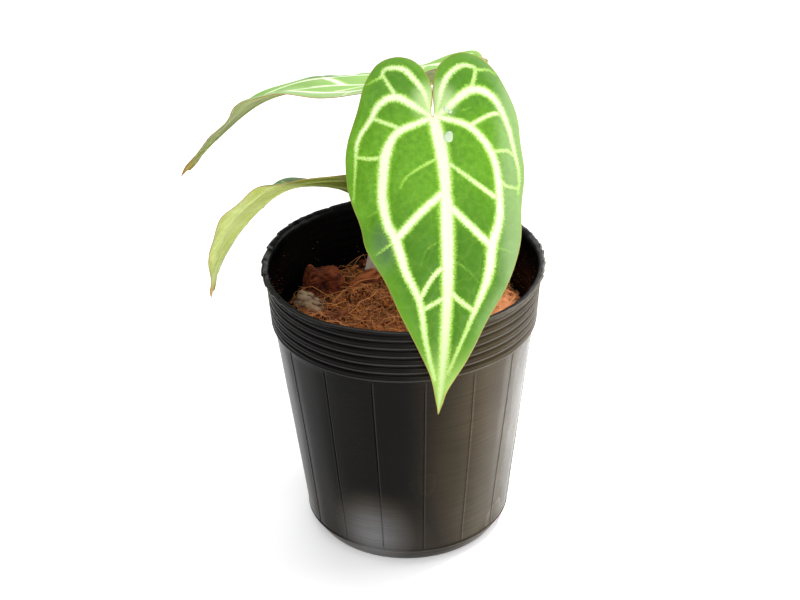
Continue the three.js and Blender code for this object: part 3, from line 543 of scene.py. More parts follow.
def scatterGround():  # the open top of the mix with how much lies on each spot
    columns, rings, reach = 96, 24, 50.5
    angle = np.linspace(0, 2 * math.pi, columns, endpoint=False)
    points = [(0, 0)]
    for ring in range(1, rings + 1):
        r = reach * ring / rings
        points += [(r * math.cos(a), r * math.sin(a)) for a in angle]
    x, y = np.array(points).T
    faces = [(0, a, b) for a, b, _ in capFaces(1, columns, 0)]
    faces += [(a, d, c, b) for a, b, c, d in ringFaces(1, rings - 1, columns)]
    near = smoothStep(30, -30, y)
    right = np.exp(-((x - 42) ** 2 + (y - 2) ** 2) / 180)
    chipSide = 1 - 0.75 * np.exp(-((x + 37) ** 2 / 90 + (y - 14) ** 2 / 420))
    fields = {"fibreShare": (0.45 + 0.75 * near + 2.4 * right) * chipSide, "crumbShare": (0.3 + near) * chipSide}
    return makeObject("scatter_ground", np.column_stack([x, y, mixHeight(x, y)]) * mm, faces, [], fields)


def speckGround():  # the dusty parts of the wall above the mix
    points, faces, share = [], [], []
    angle = np.radians(np.linspace(-60, 230, 146))
    heights = np.linspace(100, 122, 12)
    turn, across = np.degrees(angle), len(angle)
    spread = np.exp(-((turn - 5) / 28) ** 2) + 0.8 * np.exp(-((turn - 190) / 20) ** 2) + 0.015
    for z in heights:
        r = float(wallRadius(z)) - pot["wall"] - 0.1
        points += [(r * math.cos(a), r * math.sin(a), z) for a in angle]
        share += list(spread * smoothStep(124, 101, z))
    for a in range(0, (len(heights) - 1) * across, across):
        faces += [(a + j, a + across + j, a + across + j + 1, a + j + 1) for j in range(across - 1)]
    return makeObject("speck_ground", np.array(points) * mm, faces, [], {"crumbShare": share})


def scattered(add, start, share, toneSeed):  # points over the source, thick where its share is, each with a tone
    dense = add("multiply", [add("kept", [share]), start["Density"]])
    spread = add("GeometryNodeDistributePointsOnFaces",
                 {"Mesh": start["Geometry"], "Density": dense, "Seed": start["Seed"]})
    return add("stored", [spread, "tone", add("random", [0.0, 1.0, toneSeed])])


def dressed(add, start, shape):  # the tree's last two nodes
    add("treeOutput", [add("GeometryNodeSetMaterial", {"Geometry": shape, "Material": start["Material"]})])


def fibreTree():
    tree, names, add, start = newTree("coir fibres", {
        "Density": 1.0, "Shortest": 0.01, "Longest": 0.02, "Radius": 0.0002, "Rise": 0.003, "Curl": 0.005,
        "Reach": 0.052, "Seed": 1, "Material": None})
    line = add("GeometryNodeCurvePrimitiveLine", {"Start": (-0.5, 0, 0), "End": (0.5, 0, 0)})
    placed = add("GeometryNodeInstanceOnPoints", {
        "Points": scattered(add, start, "fibreShare", 11),
        "Instance": add("GeometryNodeResampleCurve", {"Curve": line, "Count": 9}),
        "Rotation": add("randomVector", [(-0.15, -0.3, 0.0), (0.15, 0.3, 6.2832), 5]),
        "Scale": add("random", [start["Shortest"], start["Longest"], 6])})
    real = add("GeometryNodeRealizeInstances", {"Geometry": placed})
    arch = add("multiplyAdd", [add("GeometryNodeSplineParameter"), 2.0, -1.0])
    square = add("power", [arch, 2.0])
    tone = add("kept", ["tone"])
    high = add("multiply", [tone, start["Rise"]])
    lift = add("multiply", [add("multiplyAdd", [square, -1.35, 1.0]), high])
    where = add("GeometryNodeInputPosition")
    wander = add("cloud", {"Vector": where, "W": add("multiply", [tone, 3.7]), "Scale": 1000 / 9, "Detail": 1.5},
                 noise_dimensions="4D")
    curl = add("vectorScale", [add("vectorSubtract", [wander, (0.5, 0.5, 0.5)]), start["Curl"]])
    shift = add("vectorAdd", [add("vectorMultiply", [curl, (2.2, 2.2, 0.7)]), add("joined", {"Z": lift})])
    moved = add("vectorAdd", [where, shift])
    away = add("length", [add("vectorMultiply", [moved, (1, 1, 0)])])
    inside = add("minimum", [add("divide", [start["Reach"], away]), 1.0])
    held = add("vectorMultiply", [moved, add("joined", [inside, inside, 1.0])])
    bent = add("GeometryNodeSetPosition", {"Geometry": real, "Position": held})
    width = add("multiply", [add("multiplyAdd", [square, -0.6, 1.0]), start["Radius"]])
    sized = add("GeometryNodeSetCurveRadius", {"Curve": bent, "Radius": width})
    ring = add("GeometryNodeCurvePrimitiveCircle", {"Resolution": 3, "Radius": 1.0})
    tube = add("GeometryNodeCurveToMesh", {"Curve": sized, "Profile Curve": ring, "Fill Caps": True})
    if "Scale" in tube.node.inputs:
        fill(tube.node, {"Scale": width})
    dressed(add, start, add("GeometryNodeRealizeInstances", {"Geometry": tube}))
    return tree, names


def crumbTree():
    tree, names, add, start = newTree("crumbs", {
        "Density": 1.0, "Smallest": 0.0005, "Largest": 0.002, "Seed": 1, "Material": None})
    shape = add("randomVector", [(0.6, 0.6, 0.5), (1.4, 1.1, 0.9), 9])
    size = add("random", [start["Smallest"], start["Largest"], 6])
    placed = add("GeometryNodeInstanceOnPoints", {
        "Points": scattered(add, start, "crumbShare", 21),
        "Instance": add("GeometryNodeMeshIcoSphere", {"Radius": 1.0, "Subdivisions": 1}),
        "Rotation": add("randomVector", [(0, 0, 0), (6.28, 6.28, 6.28), 5]),
        "Scale": add("vectorScale", [shape, size])})
    real = add("GeometryNodeRealizeInstances", {"Geometry": placed})
    rough = add("cloud", [add("GeometryNodeInputPosition"), 1000 / 1.3, 2.0])
    broken = add("vectorScale", [add("vectorSubtract", [rough, (0.5, 0.5, 0.5)]), start["Largest"]])
    dressed(add, start, add("GeometryNodeSetPosition", {"Geometry": real, "Offset": broken}))
    return tree, names


fibres, crumbs = fibreTree(), crumbTree()
ground = scatterGround()
grow("coir_fibres", ground, fibres, coirFibre)
grow("coir_crumbs", ground, crumbs, coirCrumb)
grow("coir_strands", ground, fibres, coirFibre)
bpy.data.objects.remove(ground)
ground = speckGround()
grow("coir_specks", ground, crumbs, coirCrumb)
bpy.data.objects.remove(ground)
print("mix, fibres and crumbs made")

# Chips: each is the solid's own lump with its faces broken up along the grain.
chips = {  # cuts per edge, turn of the grain and its length in mm, depth of splits and knobs, dark and light tone
    "bark_chip_1": (11, 12, 3, 0.5, 1.5, "2e110a", "78391f"),
    "bark_chip_2": (6, 35, 3, 0.3, 0.8, "4a2014", "a05c38"),
    "bark_chip_3": (7, -10, 6, 0.25, 1.1, "46200f", "94563a"),
    "bark_chip_4": (7, 38, 6, 0.3, 0.7, "4a2014", "a86038"),
    "bark_chip_5": (8, -36, 6, 0.35, 0.9, "2e120b", "7c3d24"),
    "bark_chip_6": (7, 62, 6, 0.3, 0.7, "3c190f", "8a4a2e"),
    "bark_chip_7": (7, 20, 6, 0.3, 0.7, "4c2416", "a5653f"),
    "bark_chip_8": (7, -48, 6, 0.3, 0.7, "35150c", "7c4024"),
    "bark_chip_9": (7, 8, 6, 0.3, 0.7, "45200f", "955333"),
    "pale_bark_chip": (10, -28, 4, 0.45, 0.7, "3f2215", "a68c76"),
}


def barkMaterial(name, turn, length, dark, light):  # pine bark and husk: matt, fibrous, with painted shade that darkens its splits and hollows
    material, add, shader = newMaterial(name, {"Roughness": 0.9, "Specular IOR Level": 0.2})
    spot = add("place")
    laid = add("turned", [spot, (0, 0, -math.radians(turn))])
    fibre = add("noise", [add("stretched", [laid, perMetre(length, 0.8, 0.8)]), 0.7, 4, 0.6])
    # the grain's own tone, with painted shade where the split field sinks the surface
    wearAndPaintedLight = add("multiplyAdd", [add("attribute", attribute_name="split"), 0.45, fibre])
    wearAndPaintedLight = add("multiplyAdd", [add("noise", [spot, 1000 / 4, 3]), 0.9, wearAndPaintedLight])
    fill(shader, {"Base Color": coats(add, dark, [(wearAndPaintedLight, 0.6, 1.25, 0, 1, light)]),
                  "Normal": add("bump", [fibre, 0.8, 0.5 * mm])})
    return material


def buildChip(node, seed, cuts, turn, length, splitDepth, knobDepth, dark, light):
    bm = bmesh.new()
    bm.from_mesh(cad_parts[node].data)
    bmesh.ops.remove_doubles(bm, verts=bm.verts, dist=0.00001)
    bmesh.ops.subdivide_edges(bm, edges=bm.edges, cuts=cuts, use_grid_fill=True)
    for _ in range(6 + cuts):
        bmesh.ops.smooth_vert(bm, verts=bm.verts, factor=0.5, use_axis_x=True, use_axis_y=True, use_axis_z=True)
    bm.normal_update()
    points = np.array([v.co[:] for v in bm.verts]) / mm
    normals = np.array([v.normal[:] for v in bm.verts])
    a = -math.radians(turn)
    laid = points @ np.array([[math.cos(a), math.sin(a), 0], [-math.sin(a), math.cos(a), 0], [0, 0, 1]])
    split = grain(laid, (length, 1.0, 1.0), seed) + 0.5 * grain(laid, (length / 2, 0.6, 0.6), seed + 3)
    knob = grain(points, (7, 7, 7), seed + 5) + 0.5 * grain(points, (2.4, 2.4, 2.4), seed + 8)
    knob = knob + 0.2 * grain(points, (1, 1, 1), seed + 2)
    points = points + normals * (splitDepth * split + knobDepth * knob)[:, None]
    for vert, place in zip(bm.verts, points):
        vert.co = place * mm
    name = "husk chip" if "pale" not in node else "lichened bark chip"
    bark = barkMaterial(name, turn, length, dark, light)
    return fromBmesh("husk_" + node, bm, bark, {"split": split + 0.5 * knob})


for seed, (node, chip) in enumerate(chips.items()):
    settle(buildChip(node, seed + 1, *chip), "pale_bark" if node == "pale_bark_chip" else "bark", node)
print("chips made")

# Label
label = {"width": 9, "foot": 4, "above": 46, "below": 16, "thickness": 0.6, "corner": 1.2, "at": (-12.6, 39.5, 99),
         "lean": 13, "turn": 8, "bend": 0.9,
         "section": [(-1, -1), (-0.5, -1.25), (0.5, -1.25), (1, -1), (1, 1), (0.5, 0.75), (-0.5, 0.75), (-1, 1)]}


def buildLabel():
    half, tip, corner = label["width"] / 2, label["foot"] / 2, label["corner"]
    low, high, section = -label["below"], label["above"], label["section"]
    sides = [(low, tip * 0.55), (low + 0.8, tip), (low * 0.3, half)]
    sides += [(z, half) for z in np.linspace(-2, high - corner, 24)]
    for a in np.linspace(0.3, math.pi / 2, 5):
        sides.append((high - corner * (1 - math.sin(a)), half - corner * (1 - math.cos(a))))
    turned = turnedTo(label["at"], (math.radians(label["turn"]), "Z"), (math.radians(label["lean"]), "Y"))
    points = []
    for z, w in sides:
        sag = label["bend"] * ((z - low) / (high - low)) ** 2
        points += [turned @ Vector((x * w, y * label["thickness"] / 2 + sag, z)) * mm for x, y in section]
    count = len(section)
    faces = ringFaces(0, len(sides) - 1, count) + [range(count - 1, -1, -1), range(len(points) - count, len(points))]
    return makeObject("label_strip", points, faces, [labelPlastic])


# Polystyrene strip, rolled and cut: off white, satin, greyed by weather and splashed soil near its foot.
labelPlastic, add, shader = newMaterial("polystyrene strip", {"Roughness": 0.45, "IOR": 1.59})
spot = add("place")
near = add("range", [add("axes", [spot])["Z"], 0.098, 0.112, 0.75, 0.1])
soiled = add("multiply", [add("noise", [spot, 1000 / 3, 5]), near])
fill(shader, {"Base Color": add("mix", [soiled, "f4f2ec", "8a6a52"])})
settle(buildLabel(), "label", "plant_label")

# Stem
stem = {"foot": (5, 3.5, 81), "height": 36, "radius": 7.2, "sheaths": 4, "columns": 64, "rows": 26,
        "wall": 0.35, "spiral": 2.4}


def buildStem():  # nested dry sheaths with torn tops
    points, faces, tones = [], [], []
    columns, rows = stem["columns"], stem["rows"]
    for i in range(stem["sheaths"]):
        share = i / (stem["sheaths"] - 1)
        height = stem["height"] * (1 - 0.28 * share)
        radius = stem["radius"] * (0.72 + 0.28 * share) - stem["wall"]
        lean, around = math.radians(2 + 3 * share), i * stem["spiral"]
        turned = turnedTo(stem["foot"], (lean * math.sin(around), "Y"), (lean * math.cos(around), "X"))
        base = len(points)
        for row in range(rows + 1):
            up = min(row, rows - 2) / (rows - 2)
            inset, sink = {rows - 1: (0.5, 0.25), rows: (3.2, 1.4)}.get(row, (0, 0))  # the top turns in
            for column in range(columns):
                a = 2 * math.pi * column / columns
                torn = 2.2 * noise.noise(Vector((3 * math.cos(a), 3 * math.sin(a), i * 5.0)))
                torn = torn + 1.2 * abs(math.sin(7 * a + i))
                uneven = noise.noise(Vector((6 * math.cos(a), 6 * math.sin(a), up * 3 + i)))
                rib = 0.13 * math.sin(19 * a + i) + 0.12 * uneven
                r = radius * (1 - 0.2 * up) + rib - inset
                z = (height - max(torn, 0) * up ** 6) * up - sink
                points.append(turned @ Vector((r * math.cos(a), r * math.sin(a), z)) * mm)
                tones.append(share * 0.6 + 0.4 * up)
        points += [turned @ Vector((0, 0, z)) * mm for z in (0, height - 1.6)]
        tones += [0, 0]
        faces += ringFaces(base, rows, columns) + capFaces(base, columns, len(points) - 2, True)
        faces += capFaces(base + rows * columns, columns, len(points) - 1)
    return makeObject("stem_sheaths", points, faces, [drySheath], {"tone": tones})


# Dry leaf sheath, a papery skin with long fibres: straw to brown, green only where it is young.
drySheath, add, shader = newMaterial("dry leaf sheath", {"Roughness": 0.8, "Specular IOR Level": 0.25})
fibre = add("noise", [add("stretched", [add("place"), perMetre(0.7, 0.7, 14)]), 1, 4])
dry = add("mix", [fibre, "5b3d22", "b59467"])
young = add("mix", [add("attribute", attribute_name="tone"), "7c8a45", dry])
fill(shader, {"Base Color": young, "Normal": add("bump", [fibre, 0.6, 0.3 * mm])})
settle(buildStem(), "stem", "stem")
print("label and stem made")

# Blade: one outline and one vein map for all three leaves, in mm at the front leaf's length.
# The first number runs along the midrib from the sinus, the second across it, the third is a vein's width.
blade = {
    "length": 120, "pitch": 0.62, "rimPitch": 0.75, "clear": 0.36, "half": 0.27, "edge": 0.15, "beyond": 0.12,
    "puff": 0.55, "ripple": 0.6, "rippleLength": 23, "keel": 0.85, "veinPitch": 0.45,
    "stations": [-0.25, 0, 0.25, 0.5, 0.75, 1],
    "midrib": [(0, 0), (8, 2), (23, 4.2), (57, 4.7), (93, 3.2), (120.5, 0.6)],
}
rightMargin = [
    (0, 0), (-1, 0.42), (-3.7, 0.56), (-6.2, 0.4), (-8.5, 0.14), (-11.5, 0.16), (-14, 0.55), (-16.5, 1), (-21.5, 3.2),
    (-25.6, 8), (-26.8, 13.5), (-24, 20.5), (-16, 27.8), (-5, 33.5), (8, 35.4), (20, 36.6), (38, 35.2), (54, 33.6),
    (66, 29.4), (82, 20.4), (98, 12), (110, 4.6), (116, 2.5), (120.5, 0.6),
]
leftMargin = [
    (0, 0), (-1, -0.42), (-3.7, -0.58), (-6.2, -0.4), (-8.5, -0.14), (-11.5, -0.18), (-14, -0.8), (-17, -1.9),
    (-21.5, -4.5), (-24.8, -9), (-25.6, -15.5), (-23, -22), (-16.5, -26.4), (-7, -29.8), (6, -34.2), (17, -36.7),
    (27, -35.9), (44, -30.6), (53, -28), (67, -20.2), (84, -12.2), (100, -4.3), (108, -1.6), (120.5, 0.6),
]
veins = {
    "midrib": [(0, 0.2, 3.6), (2, 0.6, 5), (8, 2, 5.7), (15, 3.3, 5.6), (23, 4.2, 5.2), (31, 4.5, 4.7),
        (37, 4.7, 5.6), (57, 4.8, 5.3), (70, 4.6, 4.6), (93, 3.2, 3.9), (104, 2.3, 2.8), (114, 1.3, 1.7),
        (120, 0.8, 1)],
    "mainLeft": [(0.3, -0.1, 2.4), (2.5, -6, 2.7), (5.3, -12.8, 3.1), (8, -16, 3.3), (12, -18.1, 4.2),
        (17.5, -19.8, 4.6), (30, -21, 4.2), (36, -20.5, 4.1), (43.5, -19, 3.9), (49.3, -15.9, 4.2),
        (62.5, -11.9, 3.4), (74.5, -6.6, 2.6), (90.5, -4.3, 1.9), (106, -0.8, 0.9)],
    "mainRight": [(0.1, 1.7, 2.2), (2.5, 10.8, 2.6), (5, 15.4, 2.8), (9, 19.4, 2.9), (14, 22.7, 3), (20, 24.7, 3),
        (26, 25.6, 3), (34, 26, 3.1), (41.5, 25.7, 3.4), (52, 22.6, 4), (60, 21.7, 3.9), (67.5, 19.7, 3.2),
        (76, 16.2, 2.2), (84, 12.8, 1.3), (103.5, 4.5, 0.8)],
    "lobeLeft": [(-0.2, -0.6, 1.6), (-4, -6.6, 2.6), (-7.8, -12.5, 3.3), (-8.4, -16.6, 3.2), (-6.7, -20.2, 3),
        (-4, -22.9, 2.6), (-0.2, -24.8, 2.2), (7.7, -30.2, 1.7), (19, -32.3, 0.9), (33, -33, 0.5)],
    "lobeRight": [(-0.2, 1.4, 1.6), (-3, 5.3, 2.8), (-9.4, 12.7, 3.7), (-11.1, 16.8, 3.6), (-10.4, 21, 3.3),
        (-8, 24.6, 3.1), (-4, 27.2, 2.6), (6.6, 31.1, 1.8), (19.8, 33.8, 1.1), (26, 34.2, 0.8), (31.6, 33.8, 0.6)],
    "slitLeft": [(-0.7, -0.8, 0.8), (-5.5, -1.9, 1.2), (-11, -3.8, 1.9), (-18.8, -9.7, 2.4), (-20.5, -12.7, 2.2),
        (-20.9, -16.3, 1.8), (-20.3, -18.9, 1.4), (-17.4, -20.3, 1.2)],
    "slitRight": [(-0.7, 1.2, 0.8), (-6, 2.6, 1.2), (-11.7, 4, 2.2), (-16.5, 6.2, 2.5), (-19.7, 9.4, 2.1),
        (-21.3, 13, 1.7), (-20.5, 16.6, 1.2), (-19.4, 18.7, 0.9), (-19.4, 22.9, 0.6), (-17.4, 26, 0.4)],
    "crossLeft1": [(-17.4, -19.5, 1.1), (-9.6, -15, 1.4)],
    "crossLeft2": [(0, -23.5, 1.2), (4.5, -13.3, 1.3)],
    "crossLeft3": [(15, -31, 0.9), (16, -26.6, 1.1), (16, -22.4, 1.1), (15.2, -20.8, 1)],
    "crossRight1": [(-19, 17.6, 1.2), (-15, 16.8, 1.2), (-11, 15.3, 1.3)],
    "crossRight2": [(3.5, 15.4, 1.7), (-0.6, 22.8, 1.6), (-1.3, 26, 1.6)],
    "crossRight3": [(14.7, 23.3, 1.1), (14, 29.7, 1), (16, 32.3, 0.9)],
    "crossRight4": [(26, 26.7, 1), (28.4, 28.7, 1), (29.4, 33.5, 0.8)],
    "sideLeft1": [(17, 1, 0.8), (23.4, -10, 0.55), (28.7, -13.8, 0.35)],
    "sideLeft2": [(31.5, 2.5, 3.3), (39.3, -6.4, 3.2), (49.3, -15.8, 3.4)],
    "sideLeft3": [(61, 2, 1.8), (65, -1.7, 1.6), (73, -6.5, 1.6)],
    "sideLeft4": [(73, 2.6, 1.6), (77, -4.5, 1.5)],
    "sideRight1": [(19.2, 6.3, 1.2), (26, 15, 1.4), (32.8, 23.9, 1.8)],
    "sideRight2": [(37, 6.8, 2.8), (44, 13.8, 2.8), (51.5, 21.4, 3)],
    "sideRight3": [(69.8, 5.4, 1.9), (73.8, 9.4, 1.8), (77.8, 14.8, 1.7)],
    "faintLeft": [(51, 0, 0.3), (54, -4, 0.2), (61, -6.3, 0.1)],
    "faintRight": [(58, 8, 0.3), (63, 14, 0.2), (68, 18, 0.1)],
    "outLeft1": [(-17.2, -19.8, 0.9), (-16, -23, 0.6), (-14.3, -26.5, 0.3)],
    "outLeft2": [(49.8, -16.5, 0.9), (52.5, -20, 0.6), (55.3, -23.8, 0.3)],
    "outLeft3": [(36, -21, 0.3), (40, -27.5, 0.15)],
    "outRight1": [(52.5, 23.5, 0.4), (55, 31, 0.2)],
    "cellRight": [(-2.4, 12.3, 0.35), (-3.6, 15.6, 0.2)],
}
# a leaf's tone is partly its own shade and partly painted light: 0 for the upper leaf in full light, 1 for the lower
# leaf, lit through from below
leaves = {
    "front": {
        "sinus": (12.7, -19.6, 200.8), "length": 117.6, "bow": 1, "warp": 0, "seed": 1,
        "heading": [-90, -90, -90, -91, -92, -94], "pitch": [-42, -50, -57, -64, -69, -76],
        "roll": [0, 0, 0, 0, 0, 0],
        "foldRight": [8, 6, 6, 7, 9, 14], "foldLeft": [8, 6, 6, 7, 9, 14], "tone": 0.5,
        "curlRight": [-0.82, -0.8, -1.4], "curlLeft": [-0.82, -0.8, -1.4],
        "stalk": [(6.4, 0.2, 107), (13, -1.5, 128), (18.5, -3, 150), (17, -3, 174)],
    },
    "upper": {
        "sinus": (12.6, 39.2, 188.9), "length": 125.3, "bow": 0, "warp": 1.3, "seed": 2,
        "heading": [192, 186, 170, 162, 182, 192], "pitch": [-36, 2, -4, -22, -43, -47],
        "roll": [21, 21, 11, 11, 17, 48],
        "foldRight": [27, 17, 9, 11, 10, 21], "foldLeft": [30, 16, 3, 11, 19, 18], "tone": 0,
        "curlRight": [-0.3, -0.15, -0.56], "curlLeft": [-0.24, -0.82, -0.24],
        "stalk": [(7.6, 6.4, 107), (9.5, 14, 132), (12.5, 27, 158)],
    },
    "lower": {
        "sinus": (-10.1, 1.5, 153.6), "length": 104.6, "bow": 0, "warp": 1.6, "seed": 3,
        "heading": [187, 169, 159, 181, 181, 156], "pitch": [24, 21, -7, -42, -59, -81],
        "roll": [36, 38, 27, 24, 13, -24],
        "foldRight": [17, 12, -1, 12, 24, 21], "foldLeft": [6, 1, 0, 17, 6, -3], "tone": 1,
        "curlRight": [0.05, 0, 0.22], "curlLeft": [-0.3, -0.09, -0.37],
        "stalk": [(1.8, 3.6, 107), (-4.5, 0, 121)],
    },
}


def laidBlade(leaf):  # gives a function from the flat blade to its place in the plant, and the way up there
    count, before = 200, 60  # steps of the midrib from sinus to tip, and behind the sinus
    scale, step = leaf["length"] / blade["length"], leaf["length"] / count
    rows = {key: leaf[key] for key in ("heading", "pitch", "roll", "foldRight", "foldLeft")}
    for key in ("curlRight", "curlLeft"):
        base, middle, tip = leaf[key]
        rows[key] = [base, base, (base + middle) / 2, middle, (middle + tip) / 2, tip]
    rows = {key: pchip(blade["stations"], np.radians(values)) for key, values in rows.items()}
    midrib = pchip(*zip(*blade["midrib"]))

    def along(share):
        h, p = rows["heading"](share), rows["pitch"](share)
        return np.stack([np.cos(p) * np.cos(h), np.cos(p) * np.sin(h), np.sin(p)], axis=-1)

    steps = along((np.arange(-before, count + 4) + 0.5) / count) * step
    line = np.concatenate([[(0, 0, 0)], np.cumsum(steps, axis=0)])
    line = line + np.array(leaf["sinus"]) - line[before]

    def place(s, w):  # s and w in the map's mm
        s, w = np.asarray(s, float) * scale, np.asarray(w, float) * scale
        at = np.clip(s / step + before, 0, len(line) - 1.001)
        i = at.astype(int)
        centre = line[i] + (line[i + 1] - line[i]) * (at - i)[:, None]
        share = s / leaf["length"]
        heading, turn = rows["heading"](share), rows["roll"](share)
        level = np.stack([-np.sin(heading), np.cos(heading), 0 * heading], axis=-1)
        raised = np.cross(along(share), level)
        across = level * np.cos(turn)[:, None] + raised * np.sin(turn)[:, None]
        up = raised * np.cos(turn)[:, None] - level * np.sin(turn)[:, None]
        bow = np.where(s > 0, leaf["bow"] * scale * midrib(s / scale), 0)
        side = np.where(w >= bow, 1, -1)
        fold, curl = (np.where(side > 0, rows[key + "Right"](share), rows[key + "Left"](share))
                      for key in ("fold", "curl"))
        curl = np.where(np.abs(curl) < 1e-6, 1e-6, curl)
        bent = fold + curl * np.abs(w - bow)
        out = side * (np.sin(bent) - np.sin(fold)) / curl
        lift = (np.cos(fold) - np.cos(bent)) / curl
        return centre + across * (bow + out)[:, None] + up * lift[:, None], up

    return place, midrib, scale


def inside(places, rim):  # which places lie within a closed outline
    hits = np.zeros(len(places), int)
    for (s0, w0), (s1, w1) in zip(rim, np.roll(rim, -1, axis=0)):
        if w0 != w1:
            level = (w0 > places[:, 1]) != (w1 > places[:, 1])
            hits += level & (places[:, 0] < s0 + (places[:, 1] - w0) * (s1 - s0) / (w1 - w0))
    return hits % 2 == 1


def flatBlade():  # an even triangle sheet inside the outline
    right, left = (evenly(spline(side, 1400), blade["rimPitch"]) for side in (rightMargin, leftMargin))
    rim = np.concatenate([right, left[1:-1][::-1]])
    pitch = blade["pitch"]
    rows = np.arange(-28, 121.5, pitch * 0.866)
    inner = np.array([(s, w) for k, s in enumerate(rows) for w in np.arange(-38, 38, pitch) + (k % 2) * pitch / 2])
    closest = np.full(len(inner), 1e9)
    for start, end in zip(rim, np.roll(rim, -1, axis=0)):
        span = end - start
        t = np.clip(((inner - start) @ span) / max(span @ span, 1e-9), 0, 1)
        closest = np.minimum(closest, np.hypot(*(inner - start - t[:, None] * span).T))
    keep = inside(inner, rim) & (closest > blade["clear"])
    points = np.concatenate([rim, inner[keep]])
    margin = np.concatenate([np.zeros(len(rim)), closest[keep]])
    found = geometry.delaunay_2d_cdt([Vector(p) for p in points.tolist()], [], [list(range(len(rim)))], 1, 1e-6, True)
    order = [ids[0] for ids in found[3]]
    faces = np.array([[order[v] for v in f] for f in found[2]])
    faces = faces[inside(points[faces].mean(axis=1), rim)]
    a, b, c = points[faces[:, 0]], points[faces[:, 1]], points[faces[:, 2]]
    clockwise = np.cross(b - a, c - a) < 0
    faces[clockwise] = faces[clockwise][:, ::-1]
    return points, faces, margin, len(rim)


def veinFields(points, warp, seed):  # how far each point is from the veins' edges, and where along them
    s, w = points.T.copy()
    if warp:  # no two leaves have the same veins
        s, w = s + warp * np.sin(w / 9 + seed * 2), w + warp * np.sin(s / 14 + seed)
    edge, run, width, keel = np.full(len(s), 99.0), np.zeros(len(s)), np.ones(len(s)), np.zeros(len(s))
    for number, track in enumerate(veins.values()):
        track = evenly(spline(track, 30 * len(track)), blade["veinPitch"])
        gap, spot = np.full(len(s), 99.0), np.zeros(len(s))
        for k in range(len(track) - 1):
            (s0, w0), (s1, w1) = track[k, :2], track[k + 1, :2]
            t = ((s - s0) * (s1 - s0) + (w - w0) * (w1 - w0)) / ((s1 - s0) ** 2 + (w1 - w0) ** 2)
            t = np.clip(t, 0, 1)
            d = np.hypot(s - s0 - t * (s1 - s0), w - w0 - t * (w1 - w0))
            better = d < gap
            gap[better], spot[better] = d[better], k + t[better]
        wide = np.interp(spot, np.arange(len(track)), track[:, 2])
        closer = gap - wide / 2 < edge
        edge = np.where(closer, gap - wide / 2, edge)
        run = np.where(closer, spot * blade["veinPitch"] + 37 * number, run)
        width = np.where(closer, wide, width)
        ridge = np.minimum(0.06 + 0.15 * wide, blade["keel"]) * np.exp(-(gap / (0.28 + 0.14 * wide)) ** 2)
        keel = np.maximum(keel, ridge)
    return edge, run, width, keel


def buildBlade(name, leaf, sheet):
    flat, faces, margin, rimCount = sheet
    place, midrib, scale = laidBlade(leaf)
    edge, run, width, keel = veinFields(flat, leaf["warp"], leaf["seed"])
    s, w = flat.T
    middle, _ = place(s, w)
    normals = np.zeros_like(middle)
    a, b, c = (middle[faces[:, k]] for k in range(3))
    cross = np.cross(b - a, c - a)
    for k in range(3):
        np.add.at(normals, faces[:, k], cross)
    normals /= np.linalg.norm(normals, axis=1)[:, None]
    share = np.clip(1 - margin / (margin + np.abs(w - midrib(s)) + 0.5), 0, 1)
    relief = blade["puff"] * (1 - np.exp(-(np.clip(edge, 0, 9) / 3.0) ** 2)) * smoothStep(0, 2.5, margin)
    relief = relief + blade["ripple"] * share ** 4 * np.sin(2 * math.pi * s / blade["rippleLength"] + np.sign(w))
    level = np.column_stack([s, w, 0 * s])
    wrinkle = grain(level, (6, 6, 6), leaf["seed"]) * 0.12
    wrinkle = wrinkle + 0.05 * grain(level, (2.2, 2.2, 2.2), leaf["seed"] + 4)
    relief = relief + wrinkle * smoothStep(0, 2, edge)
    half = blade["edge"] + (blade["half"] - blade["edge"]) * smoothStep(0, 4, margin)
    rimFlat = flat[:rimCount]
    tangent = np.roll(rimFlat, -1, axis=0) - np.roll(rimFlat, 1, axis=0)
    away = np.column_stack([-tangent[:, 1], tangent[:, 0]])  # out of the outline, which runs clockwise
    away = away / np.linalg.norm(away, axis=1)[:, None]
    beyond, _ = place(*(rimFlat + blade["beyond"] * away).T)
    top = middle + normals * ((relief + half) * scale)[:, None]
    under = middle + normals * ((relief - half - keel * smoothStep(0, 3, margin)) * scale)[:, None]
    lip = beyond + normals[:rimCount] * (relief[:rimCount] * scale)[:, None]
    count = len(flat)
    i = np.arange(rimCount)
    j, ring = (i + 1) % rimCount, 2 * count
    bands = [np.stack([i, j, ring + j, ring + i], 1), np.stack([ring + i, ring + j, count + j, count + i], 1)]
    allFaces = np.concatenate([faces, faces[:, ::-1] + count]).tolist() + np.concatenate(bands).tolist()
    slots = np.repeat([0, 1, 2], [len(faces), len(faces), 2 * rimCount])
    values = zip(bladeFields, (edge, run, width, margin, np.full(count, float(leaf["tone"]))))
    fields = {key: np.concatenate([value, value, value[:rimCount]]) for key, value in values}
    plane = np.concatenate([flat, flat, rimFlat]) / 200 + 0.5
    points = np.concatenate([top, under, lip]) * mm
    return makeObject("blade_" + name, points, allFaces, [bladeUpper, bladeUnder, bladeRim], fields, slots, plane)


bladeFields = ("veinEdge", "veinRun", "veinWidth", "marginGap", "leafToneAndLight")


def bladeMap(add):  # the flat blade's own map in mm
    return add("vectorScale", [add("vectorSubtract", [add("flatMap"), (0.5, 0.5, 0)]), 200])


